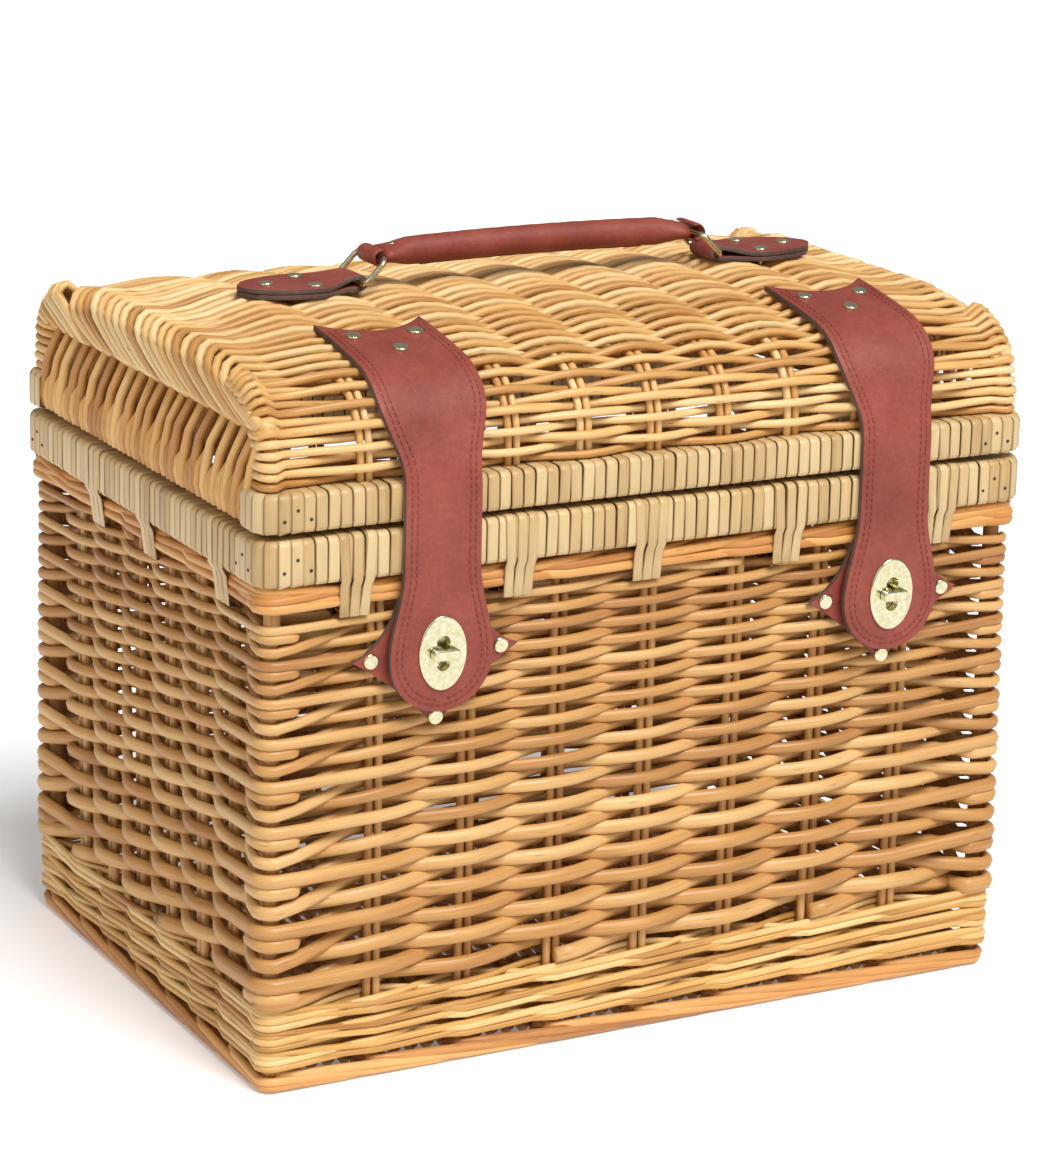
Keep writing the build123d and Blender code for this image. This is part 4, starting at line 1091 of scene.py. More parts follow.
def set_lid_stakes():
    """Stake pairs that arch from the lid's front rim to its rear rim, and the corner posts."""
    w = weave()
    form = LidForm()
    bundle = Bundle("lid_stakes_arched", 71)
    random = bundle.random
    steps = 40
    for x in lid_stake_places():
        for s in (-1, 1):
            points = []
            for i in range(steps + 1):
                (y, z), _ = form.at(form.total() * i / steps)
                points.append(form.lower(Vector((x + s * w.lid_pair_half, y, z))))
            bundle.rod(points, w.lid_stake * random.uniform(0.93, 1.04))
    rise, foot = 44 * MM, 8 * MM
    for sx, sy in CORNERS:
        points = []
        for i in range(9):
            (y, z), _ = form.at(rise * i / 8)
            points.append(Vector((sx * form.post_x, -sy * y * form.post_y / (form.wall_y - form.inset), z)))
        points.insert(0, points[0] - UP * foot)
        bundle.rod(points, form.post_radius * 1.1)
    return bundle.finish(finish_of("lid"), "lid", ("lid_stakes", "lid_corner_posts"), "willow_stick")


def mirror_x(points):
    """The same points on the basket's other end."""
    return [Vector((-p.x, p.y, p.z)) for p in points]


def rolled_end(form, y, top, radius):
    """A weaver that passes over the end: round the roll, then aslant down and forward across its
    neighbours, and in at the seam."""
    w = weave()
    x = form.turn_x
    roll = w.end_roll
    points = []
    for degrees_down, drift in ((12, 0), (38, 2.5), (64, 6.5), (88, 13)):
        a = radians(degrees_down)
        points.append(Vector((x - roll + roll * sin(a), y - drift * MM, top - roll + roll * cos(a))))
    start = points[-1]
    edge = -form.post_y + 1.5 * MM
    full = w.end_drift
    share = min(1.0, (start.y - edge) / full)
    end = Vector((x + 0.4 * MM, start.y - full * share, mix(start.z, form.seam_z, share)))
    points.append(start.lerp(end, 0.45) + Vector((0.7 * MM, 0, 0)))
    points.append(start.lerp(end, 0.85) + Vector((0.4 * MM, 0, 0)))
    points.append(end + Vector((-3.0 * MM, -1.5 * MM, -1.2 * MM)))
    points.append(end + Vector((-7.0 * MM, -1.5 * MM, -2.0 * MM)))
    return points, [radius] * 4 + [radius * 1.05, radius * 1.05, radius, radius * 0.8]


def tucked_end(form, y, top, radius):
    """A weaver that passes under the end and stops inside the roll."""
    x = form.turn_x - weave().end_roll
    return [Vector((x + 3 * MM, y - 1 * MM, top - 3.5 * MM)), Vector((x + 6 * MM, y - 3 * MM, top - 9 * MM)),
            Vector((x + 6 * MM, y - 6 * MM, top - 17 * MM))], [radius, radius, radius * 0.8]


def shoulder_end(form, side, base, normal, radius):
    """A shoulder weaver's end, bent round the outside of the corner post. At the rear of the upper end it
    runs on forward and down to the seam; elsewhere it goes in."""
    out = form.post_radius + radius
    front = base.y < 0
    inward = Vector((0, 1 if front else -1, 0))
    points = []
    for degrees_round in (5, 40, 70, 90):
        a = radians(degrees_round)
        points.append(base + normal * (out * cos(a)) + Vector((side * (form.post_x + out * sin(a)), 0, 0)))
    last = points[-1]
    if not front and base.z > form.seam_z + 1 * MM:
        run = weave().end_drift * min(1.0, (base.z - form.seam_z) / (14 * MM))
        end = Vector((side * (form.turn_x + 0.4 * MM), last.y - run, form.seam_z))
        points.append(last.lerp(end, 0.5))
        points.append(end)
        points.append(end + Vector((-side * 6 * MM, -1.5 * MM, -2 * MM)))
        return points
    points.append(last + inward * (7 * MM) + Vector((-side * 0.3 * MM, 0, -0.5 * MM)))
    points.append(last + inward * (13 * MM) + Vector((-side * 3.0 * MM, 0, -1 * MM)))
    points.append(last + inward * (18 * MM) + Vector((-side * 8.0 * MM, 0, -1 * MM)))
    return points


def weave_lid():
    """Lid weavers run along the length, over and under the stake pairs. Over the dome they turn down at
    the ends; on the shoulders they wrap the corner posts."""
    w = weave()
    form = LidForm()
    places = lid_stake_places()
    bundle = Bundle("lid_weave", 73)
    random = bundle.random
    reach = w.lid_stake + w.lid_rod * 0.9
    post_in = form.post_x - 6 * MM
    pitch = 2 * w.lid_rod * 1.08
    count = int(form.total() / pitch)
    for i in range(count):
        s = (i + 0.5) * form.total() / count
        (y, z), (ny, nz) = form.at(s)
        normal = Vector((0, ny, nz))
        base = Vector((0, y, z))
        radius = w.lid_rod * random.uniform(0.88, 1.08)
        marks = [(-post_in, 0.0)]
        for n, x in enumerate(places):
            side = 1 if (n + i) % 2 else -1
            marks.append((x, side * reach * random.uniform(0.88, 1.05)))
        marks.append((post_in, 0.0))
        points = []
        for (x0, d0), (x1, d1) in zip(marks, marks[1:]):
            for k in range(4):
                x = mix(x0, x1, k / 4)
                d = mix(d0, d1, swing(k / 4))
                points.append(form.lower(base + normal * d + Vector((x, 0, 0))))
        points.append(form.lower(base + normal * marks[-1][1] + Vector((marks[-1][0], 0, 0))))
        thick = [radius] * len(points)
        if abs(y) < form.shoulder_y:
            top = points[0].z + radius
            turn = rolled_end if i % 2 else tucked_end
            ends, end_thick = turn(form, y, top, radius)
            points = list(reversed(mirror_x(ends))) + points[1:-1] + ends
            thick = list(reversed(end_thick)) + thick[1:-1] + end_thick
        else:
            wrap_left = shoulder_end(form, LEFT, base, normal, radius)
            wrap_right = shoulder_end(form, RIGHT, base, normal, radius)
            points = list(reversed(wrap_left)) + points + wrap_right
            thick = [radius] * len(wrap_left) + thick + [radius] * len(wrap_right)
        bundle.rod(points, thick, start=random.random())
    return bundle.finish(finish_of("lid"), "lid", ("lid_top_weave", "lid_front_weave", "lid_rear_weave"),
                         "willow_lid")


def set_lid_ends():
    """The ends' lower half: sticks come out at the seam, lean back, then stand close together and wrap
    the rim rod. Every second one stays inside until it fills the gap below."""
    w = weave()
    form = LidForm()
    bundle = Bundle("lid_end_sticks", 77)
    random = bundle.random
    x, seam = form.turn_x, form.seam_z
    foot, edge = form.rim_bottom, form.post_y - 2 * MM
    for side in SIDES:
        for i in range(w.end_sticks):
            y = mix(-edge, edge, (i + 0.5) / w.end_sticks)
            y += random.uniform(-0.7, 0.7) * MM
            slant = min(w.end_lean, y + form.post_y - 1.5 * MM)
            knee = seam - 24 * MM + random.uniform(-2.5, 2.5) * MM
            if i % 2:
                upper = [(-7.0, -slant * 0.9, seam + 4 * MM), (-1.8, -slant * 0.95, seam - 0.5 * MM),
                         (0.6, -slant * 0.75, mix(seam, knee, 0.35)),
                         (1.5, -slant * 0.3, mix(seam, knee, 0.75))]
            else:
                upper = [(-9.0, -slant * 0.8, seam + 2 * MM), (-6.0, -slant * 0.5, mix(seam, knee, 0.4)),
                         (-3.0, -slant * 0.15, knee)]
            lower = [(2.2, 0.0, mix(knee, foot, 0.35)), (2.6, 0.0, foot + 9 * MM),
                     (1.6, 0.0, foot + 3.5 * MM), (-1.6, 0.0, foot + 2.6 * MM),
                     (-6.0, 0.0, foot + 3.4 * MM)]
            points = [Vector((side * (x + dx * MM), y + dy, z)) for dx, dy, z in upper + lower]
            r = w.lid_rod * random.uniform(1.0, 1.15)
            spread = [r] * len(upper) + [r * 1.2, r * 1.3, r * 1.2, r, r * 0.8]
            bundle.rod(points, spread, start=random.random())
    return bundle.finish(finish_of("lid_end"), "lid", ("lid_left_end", "lid_right_end"), "willow_lid")


def lid_end_bars():
    """Rods along the lid's ends: one inside the seam and the rim rod that the sticks wrap."""
    form = LidForm()
    low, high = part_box("lid_end_rods")
    bundle = Bundle("lid_end_bars", 79)
    half = form.post_y
    rod = (high.z - low.z) / 2
    for side in SIDES:
        for place, z, radius in ((form.turn_x - 5 * MM, form.seam_z + 1 * MM, 2.2 * MM),
                                 (high.x - rod, (low.z + high.z) / 2, rod)):
            points = [Vector((side * place, mix(-half, half, i / 6), z)) for i in range(7)]
            bundle.rod(points, radius)
    return bundle.finish(finish_of("lid"), "lid", ("lid_end_rods",), "willow_stick")


# ---------------------------------------------------------------- leather

def leather_sheet(name, half_widths, rows, across, thickness, extra=None):
    """A leather piece from a grid: rows are (point, outward direction, side direction) along its middle
    line, and half_widths its half width at each row. extra(c, i) may move a vertex along the line."""
    bm = bmesh.new()
    count = len(rows)
    made = bmesh.ops.create_grid(bm, x_segments=across, y_segments=count - 1, size=0.5)
    for v in made["verts"]:
        c = 2 * v.co.x
        i = round((v.co.y + 0.5) * (count - 1))
        point, _, side = rows[i]
        v.co = point + side * (c * half_widths[i])
        if extra:
            v.co += extra(c, i)
    bmesh.ops.recalc_face_normals(bm, faces=bm.faces)
    for face in bm.faces:
        face.smooth = True
    mesh = bpy.data.meshes.new(name)
    bm.to_mesh(mesh)
    bm.free()
    obj = bpy.data.objects.new(name, mesh)
    bpy.context.scene.collection.objects.link(obj)
    mesh.materials.append(finish_of("leather"))
    mesh.materials.append(finish_of("edge"))
    solid = obj.modifiers.new("thickness", "SOLIDIFY")
    solid.thickness = thickness
    solid.offset = 0.0
    solid.material_offset_rim = 1
    solid.use_even_offset = True
    bevel = obj.modifiers.new("soft_edge", "BEVEL")
    bevel.width = 0.5 * MM
    bevel.segments = 2
    bevel.limit_method = "ANGLE"
    bevel.angle_limit = radians(50)
    return obj


def cut_slot(obj, place, width, height, depth):
    """Cuts a round-ended slot through a leather piece, facing the front."""
    bm = bmesh.new()
    upright = Matrix.Translation(place) @ Matrix.Rotation(radians(90), 4, "X")
    r = width / 2
    bmesh.ops.create_circle(bm, cap_ends=True, segments=24, radius=r, matrix=upright)
    for v in bm.verts:
        v.co.z += (height / 2 - r) * (1 if v.co.z > place.z else -1)
        v.co.y += depth / 2
    pushed = bmesh.ops.extrude_face_region(bm, geom=bm.faces[:])
    bmesh.ops.translate(bm, vec=Vector((0, -depth, 0)),
                        verts=[g for g in pushed["geom"] if isinstance(g, bmesh.types.BMVert)])
    bmesh.ops.recalc_face_normals(bm, faces=bm.faces)
    mesh = bpy.data.meshes.new("slot_cutter")
    bm.to_mesh(mesh)
    bm.free()
    cutter = bpy.data.objects.new("slot_cutter", mesh)
    bpy.context.scene.collection.objects.link(cutter)
    hole = obj.modifiers.new("slot", "BOOLEAN")
    hole.object = cutter
    hole.operation = "DIFFERENCE"
    hole.solver = "EXACT"
    obj.modifiers.move(len(obj.modifiers) - 1, 1)
    bake(obj)
    bpy.data.objects.remove(cutter)


class StrapForm:
    """Middle line of a front strap: tail on the dome, over the shoulder, down past both rims."""

    def __init__(self, word):
        h = leather()
        form = LidForm()
        self.form = form
        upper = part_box("strap_upper_" + word)
        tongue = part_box("strap_tongue_" + word)
        self.x = (tongue[0].x + tongue[1].x) / 2
        self.mid_y = (tongue[0].y + tongue[1].y) / 2
        self.wide = (upper[1].x - upper[0].x) / 2
        self.end = (tongue[1].x - tongue[0].x) / 2
        self.end_z = tongue[0].z + self.end
        self.tail_y = upper[1].y
        self.fold_z = (tongue[1].z + upper[0].z) / 2
        lift = 0.1 * MM + h.strap_thickness / 2
        r, big = form.radius + lift, form.big + lift
        # The line leaves the shoulder where a tangent from the fold touches it.
        dy, dz = -self.mid_y - form.shoulder_y, self.fold_z - form.shoulder_z
        turn = atan2(dy, dz) - acos(min(1.0, r / hypot(dy, dz)))
        line = []
        steps = 14
        a0, a1 = -asin(-self.tail_y / big), -form.angle
        for i in range(steps):
            a = mix(a0, a1, i / steps)
            line.append((big * sin(a), form.centre_z + big * cos(a)))
        steps = 12
        for i in range(steps):
            a = mix(form.angle, turn, i / steps)
            line.append((-(form.shoulder_y + r * sin(a)), form.shoulder_z + r * cos(a)))
        leave = (-(form.shoulder_y + r * sin(turn)), form.shoulder_z + r * cos(turn))
        foot = (self.mid_y, self.fold_z)
        bend = 9 * MM
        run = hypot(foot[0] - leave[0], foot[1] - leave[1])
        for i in range(3):
            t = i / 3 * (1 - bend / run)
            line.append((mix(leave[0], foot[0], t), mix(leave[1], foot[1], t)))
        start = (mix(foot[0], leave[0], bend / run), mix(foot[1], leave[1], bend / run))
        finish = (foot[0], foot[1] - bend)
        for i in range(7):
            t = i / 6
            y = (1 - t) ** 2 * start[0] + 2 * t * (1 - t) * foot[0] + t * t * finish[0]
            z = (1 - t) ** 2 * start[1] + 2 * t * (1 - t) * foot[1] + t * t * finish[1]
            line.append((y, z))
        z = finish[1]
        while z > self.end_z + 2.5 * MM:
            z -= 2.5 * MM
            line.append((self.mid_y, z))
        for i in range(13):
            line.append((self.mid_y, self.end_z - self.end * sin(radians(86) * i / 12)))
        self.line = line

    def half_width(self, y, z):
        """Half the strap's width at this place of its line."""
        form, neck = self.form, leather().neck_half
        flare = form.shoulder_z + form.radius * 0.75
        if z >= flare or y > -form.shoulder_y:
            return self.wide
        if z >= self.fold_z:
            return mix(neck, self.wide, ease((z - self.fold_z) / (flare - self.fold_z)))
        bow = self.end_z + leather().tongue_bow
        if z >= bow:
            return neck
        if z >= self.end_z:
            return mix(self.end, neck, ease((z - self.end_z) / (bow - self.end_z)))
        return sqrt(max(0.0, self.end ** 2 - (self.end_z - z) ** 2))

    def rows(self):
        """Point, outward direction and side direction at each place of the strap's line."""
        rows = []
        last = len(self.line) - 1
        for i, (y, z) in enumerate(self.line):
            y0, z0 = self.line[max(0, i - 1)]
            y1, z1 = self.line[min(last, i + 1)]
            along = Vector((0, y1 - y0, z1 - z0)).normalized()
            outward = Vector((1, 0, 0)).cross(along)
            if outward.y > 0.5 or outward.z < -0.1:
                outward = -outward
            rows.append((Vector((self.x, y, z)), outward, Vector((1, 0, 0))))
        return rows


def make_strap(word):
    """One strap from its tail on the lid to its round end, with the slot for its lock."""
    h = leather()
    shape = StrapForm(word)
    rows = shape.rows()
    widths = [max(0.6 * MM, shape.half_width(y, z)) for y, z in shape.line]

    def fishtail(c, i):
        """Pulls the middle of the tail forward so that its two corners stay as points."""
        run = sum((rows[k + 1][0] - rows[k][0]).length for k in range(i))
        if run > h.tail_reach:
            return Vector((0, 0, 0))
        along = (rows[i + 1][0] - rows[i][0]).normalized()
        return along * (h.tail_notch * (1 - c * c) * (1 - run / h.tail_reach))

    obj = leather_sheet("strap_leather_" + word, widths, rows, 16, h.strap_thickness, fishtail)
    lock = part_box("lock_eyelet_" + word)
    middle = Vector((shape.x, shape.mid_y, (lock[0].z + lock[1].z) / 2))
    cut_slot(obj, middle, h.slot_width, h.slot_height, 3 * h.strap_thickness)
    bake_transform(obj)
    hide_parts("strap_upper_" + word, "strap_tongue_" + word)
    stitch_strap(word, shape, rows)


def stitch_strap(word, shape, rows):
    """Two rows of stitches inside each edge of a strap."""
    h = leather()
    bundle = Bundle("strap_stitches_" + word, 91)
    surface = h.strap_thickness / 2 + 0.05 * MM
    for inset in (h.stitch_inset, h.stitch_inset + h.stitch_rows_apart):
        for side in SIDES:
            line, facing = [], []
            for (point, outward, across), (y, z) in zip(rows[3:], shape.line[3:]):
                if z < shape.end_z:
                    break
                half = shape.half_width(y, z)
                line.append(point + across * (side * (half - inset)) + outward * surface)
                facing.append(outward)
            radius = shape.end - inset
            for i in range(1, 13):
                a = radians(90) * i / 12
                line.append(Vector((shape.x + side * radius * cos(a), shape.mid_y - surface,
                                    shape.end_z - radius * sin(a))))
                facing.append(Vector((0, FRONT, 0)))
            lay_stitches(bundle, line, facing, h.stitch_pitch, h.stitch_length)
    obj = bundle.finish(finish_of("thread"), None, (), "leather")
    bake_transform(obj)


def lay_stitches(bundle, line, facing, pitch, long):
    """Short thread stitches evenly spaced along a line."""
    thin, thick, crown, sunk = 0.25 * MM, 0.42 * MM, 0.28 * MM, 0.1 * MM
    reach = [0.0]
    for a, b in zip(line, line[1:]):
        reach.append(reach[-1] + (b - a).length)
    k = 0
    for n in range(int(reach[-1] / pitch)):
        middle = (n + 0.5) * pitch
        while reach[k + 1] < middle:
            k += 1
        t = (middle - reach[k]) / (reach[k + 1] - reach[k])
        place = mix(line[k], line[k + 1], t)
        along = (line[k + 1] - line[k]).normalized()
        up = facing[k]
        points = [place + along * (s * long / 2) + up * (crown * (1 - s * s) - sunk)
                  for s in (-1, -0.4, 0.4, 1)]
        bundle.rod(points, [thin, thick, thick, thin], THREAD, [up] * 4)


def make_patch(word):
    """Three-pointed latch patch: the CAD plate's outline, with its cut edge showing."""
    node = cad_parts["latch_patch_" + word]
    bm = bmesh.new()
    bm.from_mesh(node.data)
    bmesh.ops.remove_doubles(bm, verts=bm.verts, dist=1e-6)
    bmesh.ops.dissolve_limit(bm, angle_limit=radians(2), verts=bm.verts, edges=bm.edges)
    for face in bm.faces:
        face.material_index = 0 if abs(face.normal.y) > 0.7 else 1
        face.smooth = False
    name = "patch_leather_" + word
    mesh = bpy.data.meshes.new(name)
    bm.to_mesh(mesh)
    bm.free()
    return settle_piece(mesh, name, [finish_of("leather"), finish_of("edge")], "basket",
                        ("latch_patch_" + word,))


def make_tab(word, side):
    """Handle tab: one long leaf of leather folded round the ring's lower bar."""
    h = leather()
    low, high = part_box("handle_tab_" + word)
    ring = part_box("handle_ring_" + word)
    wire, thick = h.wire, h.tab_thickness
    foot_x = (ring[0].x + wire) if side < 0 else (ring[1].x - wire)
    foot_z = ring[0].z + wire
    bend = wire + 0.25 * MM + thick / 2
    tip = abs((low.x if side < 0 else high.x) - foot_x)
    lower_z, upper_z = foot_z - bend, low.z + 1.5 * thick + 0.2 * MM
    line = []
    for i in range(9):
        line.append((tip * (1 - i / 8), lower_z))
    for i in range(1, 8):
        a = radians(180) * i / 8
        line.append((-bend * sin(a), foot_z - bend * cos(a)))
    for i in range(13):
        t = i / 12
        line.append((tip * t, mix(foot_z + bend, upper_z, ease(t / 0.34))))
    rows, widths = [], []
    belly = 0.42            # where along the leaf it is widest
    for x, z in line:
        rows.append((Vector((foot_x + side * x, 0, z)), UP, Vector((0, 1, 0))))
        share = max(0.0, x) / tip
        if share < belly:
            half = mix(h.tab_fold_half, h.tab_wide_half, ease((share - 0.04) / (belly - 0.04)))
        else:
            half = h.tab_wide_half * sqrt(max(0.0, 1 - ((share - belly) / 0.585) ** 1.9))
        widths.append(max(0.5 * MM, half))
    obj = leather_sheet("tab_leather_" + word, widths, rows, 12, thick)
    bake(obj)
    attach(obj, "lid")
    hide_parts("handle_tab_" + word)


def make_grip():
    """Rolled leather grip: round in the hand, flattened at each end into a loop round the ring. The right
    loop is the roomier one."""
    h = leather()
    low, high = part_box("grip_cover")
    middle_x = (low.x + high.x) / 2
    reach = (high.x - low.x) / 2 - h.loop_radius
    bar_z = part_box("handle_ring_left")[1].z - h.wire
    rise = 2.0 * MM
    bundle = Bundle("grip_leather", 83)
    random = bundle.random
    points, radii = [], []
    steps = 44
    for i in range(steps + 1):
        x = mix(-reach + 3.2 * MM, reach - 4.6 * MM, i / steps)
        share = abs(x) / reach
        flat = ease((abs(x) - (reach - 22 * MM)) / (18 * MM))
        points.append(Vector((middle_x + x, 0, bar_z + rise * (1 - share * share))))
        lump = 1 + 0.012 * sin(i * 2.1) + random.uniform(-0.006, 0.006)
        radii.append((mix(h.grip_radius, h.grip_end_half, flat) * lump,
                      mix(h.grip_radius, h.grip_end_thin, flat) * lump))
    bundle.rod(points, radii, circle(24), [UP] * len(points), tone=0.5)
    for side, band, roomy in ((LEFT, 1.1 * MM, 0.0), (RIGHT, 0.9 * MM, 0.5 * MM)):
        centre = Vector((middle_x + side * reach, 0, bar_z))
        facing = []
        for degrees_round in range(-115, 116, 23):
            a = radians(degrees_round)
            facing.append(Vector((side * cos(a), 0, sin(a))))
        path = [centre + out * (h.loop_radius - band + roomy) for out in facing]
        bundle.rod(path, (h.grip_end_half, band), STRIP, facing, tone=0.5)
    # The turned edge of the roll along its underside.
    seam = [Vector((p.x, 1.2 * MM, p.z - r[1] - 0.1 * MM)) for p, r in zip(points[6:-6], radii[6:-6])]
    bundle.rod(seam, (1.7 * MM, 0.8 * MM), SLIM, [UP] * len(seam), tone=0.5)
    bundle.finish(finish_of("leather"), "grip", ("grip_cover",), "leather")
    studs = Bundle("grip_studs", 87)
    for side in SIDES:
        place = Vector((middle_x + side * (reach - 11 * MM), 0, bar_z + 5.2 * MM))
        studs.head(place, 2.6 * MM, 0.4)
    studs.finish(finish_of("brass"), "grip", (), "brass")


def make_hinge_straps():
    """Leather hinges at the rear, one supple strip across both rims."""
    body_leaf, lid_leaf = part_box("hinge_leaves_body"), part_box("hinge_leaves_lid")
    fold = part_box("hinge_folds")
    thickness = body_leaf[1].y - body_leaf[0].y
    y = (body_leaf[0].y + body_leaf[1].y) / 2
    half = leather().hinge_half
    steps = 24
    for word, x in (("left", fold[0].x + half), ("right", fold[1].x - half)):
        rows, widths = [], []
        for i in range(steps + 1):
            z = mix(body_leaf[0].z, lid_leaf[1].z, i / steps)
            rows.append((Vector((x, y, z)), Vector((0, 1, 0)), Vector((1, 0, 0))))
            end = min(i, steps - i) / steps
            widths.append(half * (1 - 0.16 * (1 - ease(end / 0.12))))
        obj = leather_sheet("hinge_leather_" + word, widths, rows, 10, thickness)
        bake(obj)
        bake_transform(obj)
        nodes = ("hinge_leaves_body", "hinge_folds") if word == "left" else ("hinge_leaves_lid",)
        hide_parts(*nodes)


# ---------------------------------------------------------------- finishes on CAD nodes, stage

def finish_nodes():
    """Metal fittings and hidden sticks keep their CAD shapes and get their real finish."""
    shown = {
        "brass": ("lock_eyelet_left", "lock_eyelet_right", "turn_button_left", "turn_button_right",
                  "turn_lock_base_left", "turn_lock_base_right", "strap_rivets", "patch_rivets",
                  "handle_tab_rivets", "hinge_rivets_body", "hinge_rivets_lid", "handle_ring_left",
                  "handle_ring_right"),
        "stick": ("body_rim_core", "body_rim_inner_laths", "lid_rim_core", "lid_rim_inner_laths",
                  "grip_core"),
    }
    for key, nodes in shown.items():
        for name in nodes:
            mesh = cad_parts[name].data
            mesh.materials.clear()
            mesh.materials.append(finish_of(key))


def soft_sun(name, towards, strength, spread):
    """A large far softbox: towards points from the basket to it, spread is its width in degrees."""
    light = bpy.data.lights.new(name, "SUN")
    light.energy = strength
    light.angle = radians(spread)
    obj = bpy.data.objects.new(name, light)
    bpy.context.scene.collection.objects.link(obj)
    obj.rotation_euler = towards.to_track_quat("Z", "Y").to_euler()


def set_stage():
    """Paper floor, studio surround, key and fill light, and the camera."""
    s = bpy.context.scene.basket_stage
    bm = bmesh.new()
    bmesh.ops.create_grid(bm, x_segments=1, y_segments=1, size=6.0)
    mesh = bpy.data.meshes.new("paper_sweep")
    bm.to_mesh(mesh)
    bm.free()
    # The paper's material glows faintly: painted light that keeps the floor's shadows pale.
    mesh.materials.append(finish_of("paper"))
    floor = bpy.data.objects.new("paper_sweep", mesh)
    bpy.context.scene.collection.objects.link(floor)

    world = bpy.data.worlds.new("studio")
    world.use_nodes = True
    background = world.node_tree.nodes["Background"]
    background.inputs["Color"].default_value = (*s.sky, 1.0)
    background.inputs["Strength"].default_value = s.sky_strength
    bpy.context.scene.world = world
    # The key stands high over the front, a little to the right, so that rods cast their shadows down.
    soft_sun("key", Vector((0.12, -1.0, 1.4)), s.key_strength, 30.0)
    soft_sun("fill", Vector((-1.0, -0.45, 0.6)), s.key_strength * 0.15, 50.0)

    camera = bpy.data.cameras.new("camera")
    camera.lens = s.lens
    camera.sensor_width = 36.0
    camera.shift_x = 0.0066
    camera.clip_end = 20.0
    obj = bpy.data.objects.new("camera", camera)
    bpy.context.scene.collection.objects.link(obj)
    yaw, pitch = radians(s.azimuth), radians(s.elevation)
    forward = Vector((sin(yaw) * cos(pitch), cos(yaw) * cos(pitch), -sin(pitch)))
    obj.location = Vector((0, 0, s.target_height)) - forward * s.camera_distance
    level = forward.to_track_quat("-Z", "Y")
    obj.rotation_euler = (level.to_matrix() @ Matrix.Rotation(radians(s.roll), 3, "Z")).to_euler()
    bpy.context.scene.camera = obj
    bpy.context.scene.view_settings.view_transform = "Standard"


# ---------------------------------------------------------------- operators

class BasketOperator:
    """What every operator of this add-on shares."""
    bl_options = {"REGISTER", "UNDO"}


class BASKET_OT_walls(BasketOperator, bpy.types.Operator):
    """Weave the four walls on their stakes"""
    bl_idname = "basket.walls"
    bl_label = "Walls"

    def execute(self, context):
        set_stakes()
        weave_walls()
        return {"FINISHED"}


class BASKET_OT_wales(BasketOperator, bpy.types.Operator):
    """Lay the waling rows below and above the walls"""
    bl_idname = "basket.wales"
    bl_label = "Wales"

    def execute(self, context):
        w = weave()
        low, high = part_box("top_wale")
        rows = 2
        waling("bottom_waling", "bottom_wale", FOOT_WALES, w.foot_wale_rise, w.foot_wale_rod, 0.2, 2,
               "pale", 13)
        waling("top_waling", "top_wale", rows, (high.z - low.z) / rows, w.wale_rod, 0.42, 1, "wale", 17)
        return {"FINISHED"}


class BASKET_OT_foot(BasketOperator, bpy.types.Operator):
    """Plait the foot border"""
    bl_idname = "basket.foot"
    bl_label = "Foot border"

    def execute(self, context):
        plait_foot()
        return {"FINISHED"}


class BASKET_OT_base(BasketOperator, bpy.types.Operator):
    """Weave the base"""
    bl_idname = "basket.base"
    bl_label = "Base"

    def execute(self, context):
        weave_base()
        return {"FINISHED"}


class BASKET_OT_rims(BasketOperator, bpy.types.Operator):
    """Wrap, tie and nail the rims with cane"""
    bl_idname = "basket.rims"
    bl_label = "Rims"

    def execute(self, context):
        wrap_rim("body", "basket", 51, True)
        tie_rim()
        wrap_rim("lid", "lid", 61, False)
        outer_laths("body", "basket", 55, True)
        outer_laths("lid", "lid", 65, False)
        corner_nails("body", "basket", 63, True)
        corner_nails("lid", "lid", 67, False)
        return {"FINISHED"}


class BASKET_OT_lid(BasketOperator, bpy.types.Operator):
    """Weave the lid and its ends"""
    bl_idname = "basket.lid"
    bl_label = "Lid"

    def execute(self, context):
        set_lid_stakes()
        weave_lid()
        set_lid_ends()
        lid_end_bars()
        return {"FINISHED"}


class BASKET_OT_straps(BasketOperator, bpy.types.Operator):
    """Cut and stitch the front straps and their latch patches"""
    bl_idname = "basket.straps"
    bl_label = "Straps"

    def execute(self, context):
        for word, body in STRAPS:
            make_strap(word)
            make_patch(word)
        return {"FINISHED"}


class BASKET_OT_handle(BasketOperator, bpy.types.Operator):
    """Make the grip and its tabs"""
    bl_idname = "basket.handle"
    bl_label = "Handle"

    def execute(self, context):
        make_tab("left", LEFT)
        make_tab("right", RIGHT)
        make_grip()
        return {"FINISHED"}


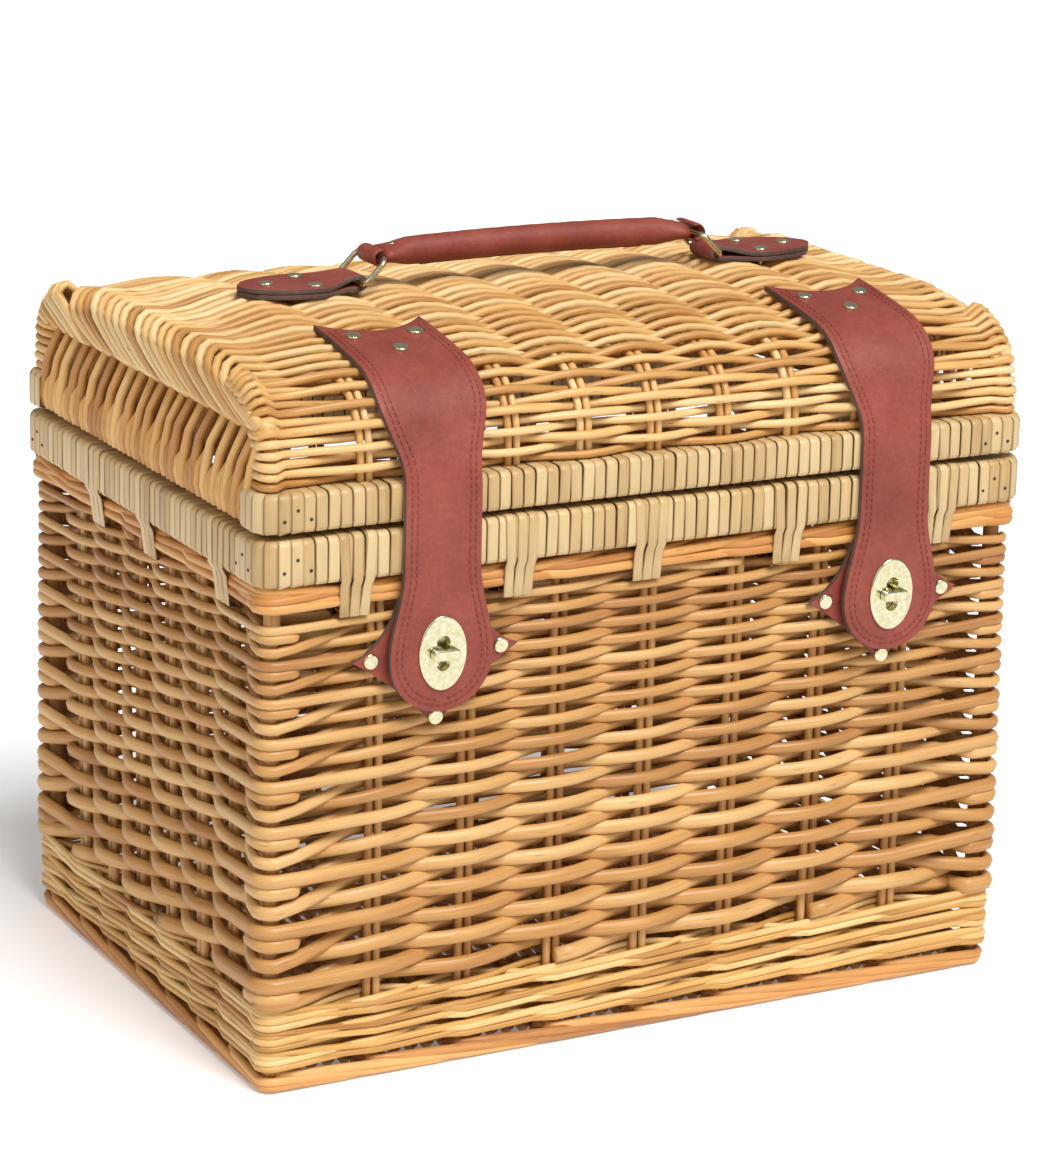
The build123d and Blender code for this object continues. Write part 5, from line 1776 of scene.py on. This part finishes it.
class BASKET_OT_hinges(BasketOperator, bpy.types.Operator):
    """Cut the rear leather hinges"""
    bl_idname = "basket.hinges"
    bl_label = "Hinges"

    def execute(self, context):
        make_hinge_straps()
        return {"FINISHED"}


class BASKET_OT_fittings(BasketOperator, bpy.types.Operator):
    """Finish the metal fittings and the sticks inside the rims"""
    bl_idname = "basket.fittings"
    bl_label = "Fittings"

    def execute(self, context):
        finish_nodes()
        return {"FINISHED"}


class BASKET_OT_stage(BasketOperator, bpy.types.Operator):
    """Set the floor, lights and camera"""
    bl_idname = "basket.stage"
    bl_label = "Stage"

    def execute(self, context):
        set_stage()
        return {"FINISHED"}


OPERATORS = (BASKET_OT_walls, BASKET_OT_wales, BASKET_OT_foot, BASKET_OT_base, BASKET_OT_rims,
             BASKET_OT_lid, BASKET_OT_straps, BASKET_OT_handle, BASKET_OT_hinges, BASKET_OT_fittings,
             BASKET_OT_stage)


class BASKET_PT_panel(bpy.types.Panel):
    """Lists the basket's pieces and settings"""
    bl_label = "Willow Basket"
    bl_idname = "BASKET_PT_panel"
    bl_space_type = "VIEW_3D"
    bl_region_type = "UI"
    bl_category = "Basket"

    def draw(self, context):
        for operator in OPERATORS:
            self.layout.operator(operator.bl_idname)
        for group in GROUPS:
            settings = getattr(context.scene, group)
            for name in settings.bl_rna.properties.keys():
                if name not in ("rna_type", "name"):
                    self.layout.prop(settings, name)


GROUPS = {"basket_weave": WeaveSettings, "basket_cane": CaneSettings, "basket_leather": LeatherSettings,
          "basket_stage": StageSettings}


def register():
    for group, kind in GROUPS.items():
        bpy.utils.register_class(kind)
        setattr(bpy.types.Scene, group, PointerProperty(type=kind))
    for kind in OPERATORS + (BASKET_PT_panel,):
        bpy.utils.register_class(kind)


def unregister():
    for kind in reversed(OPERATORS + (BASKET_PT_panel,)):
        bpy.utils.unregister_class(kind)
    for group, kind in GROUPS.items():
        delattr(bpy.types.Scene, group)
        bpy.utils.unregister_class(kind)


def main():
    """Builds the whole basket."""
    register()
    for operator in OPERATORS:
        group, name = operator.bl_idname.split(".")
        getattr(getattr(bpy.ops, group), name)()


if __name__ == "__main__":
    main()
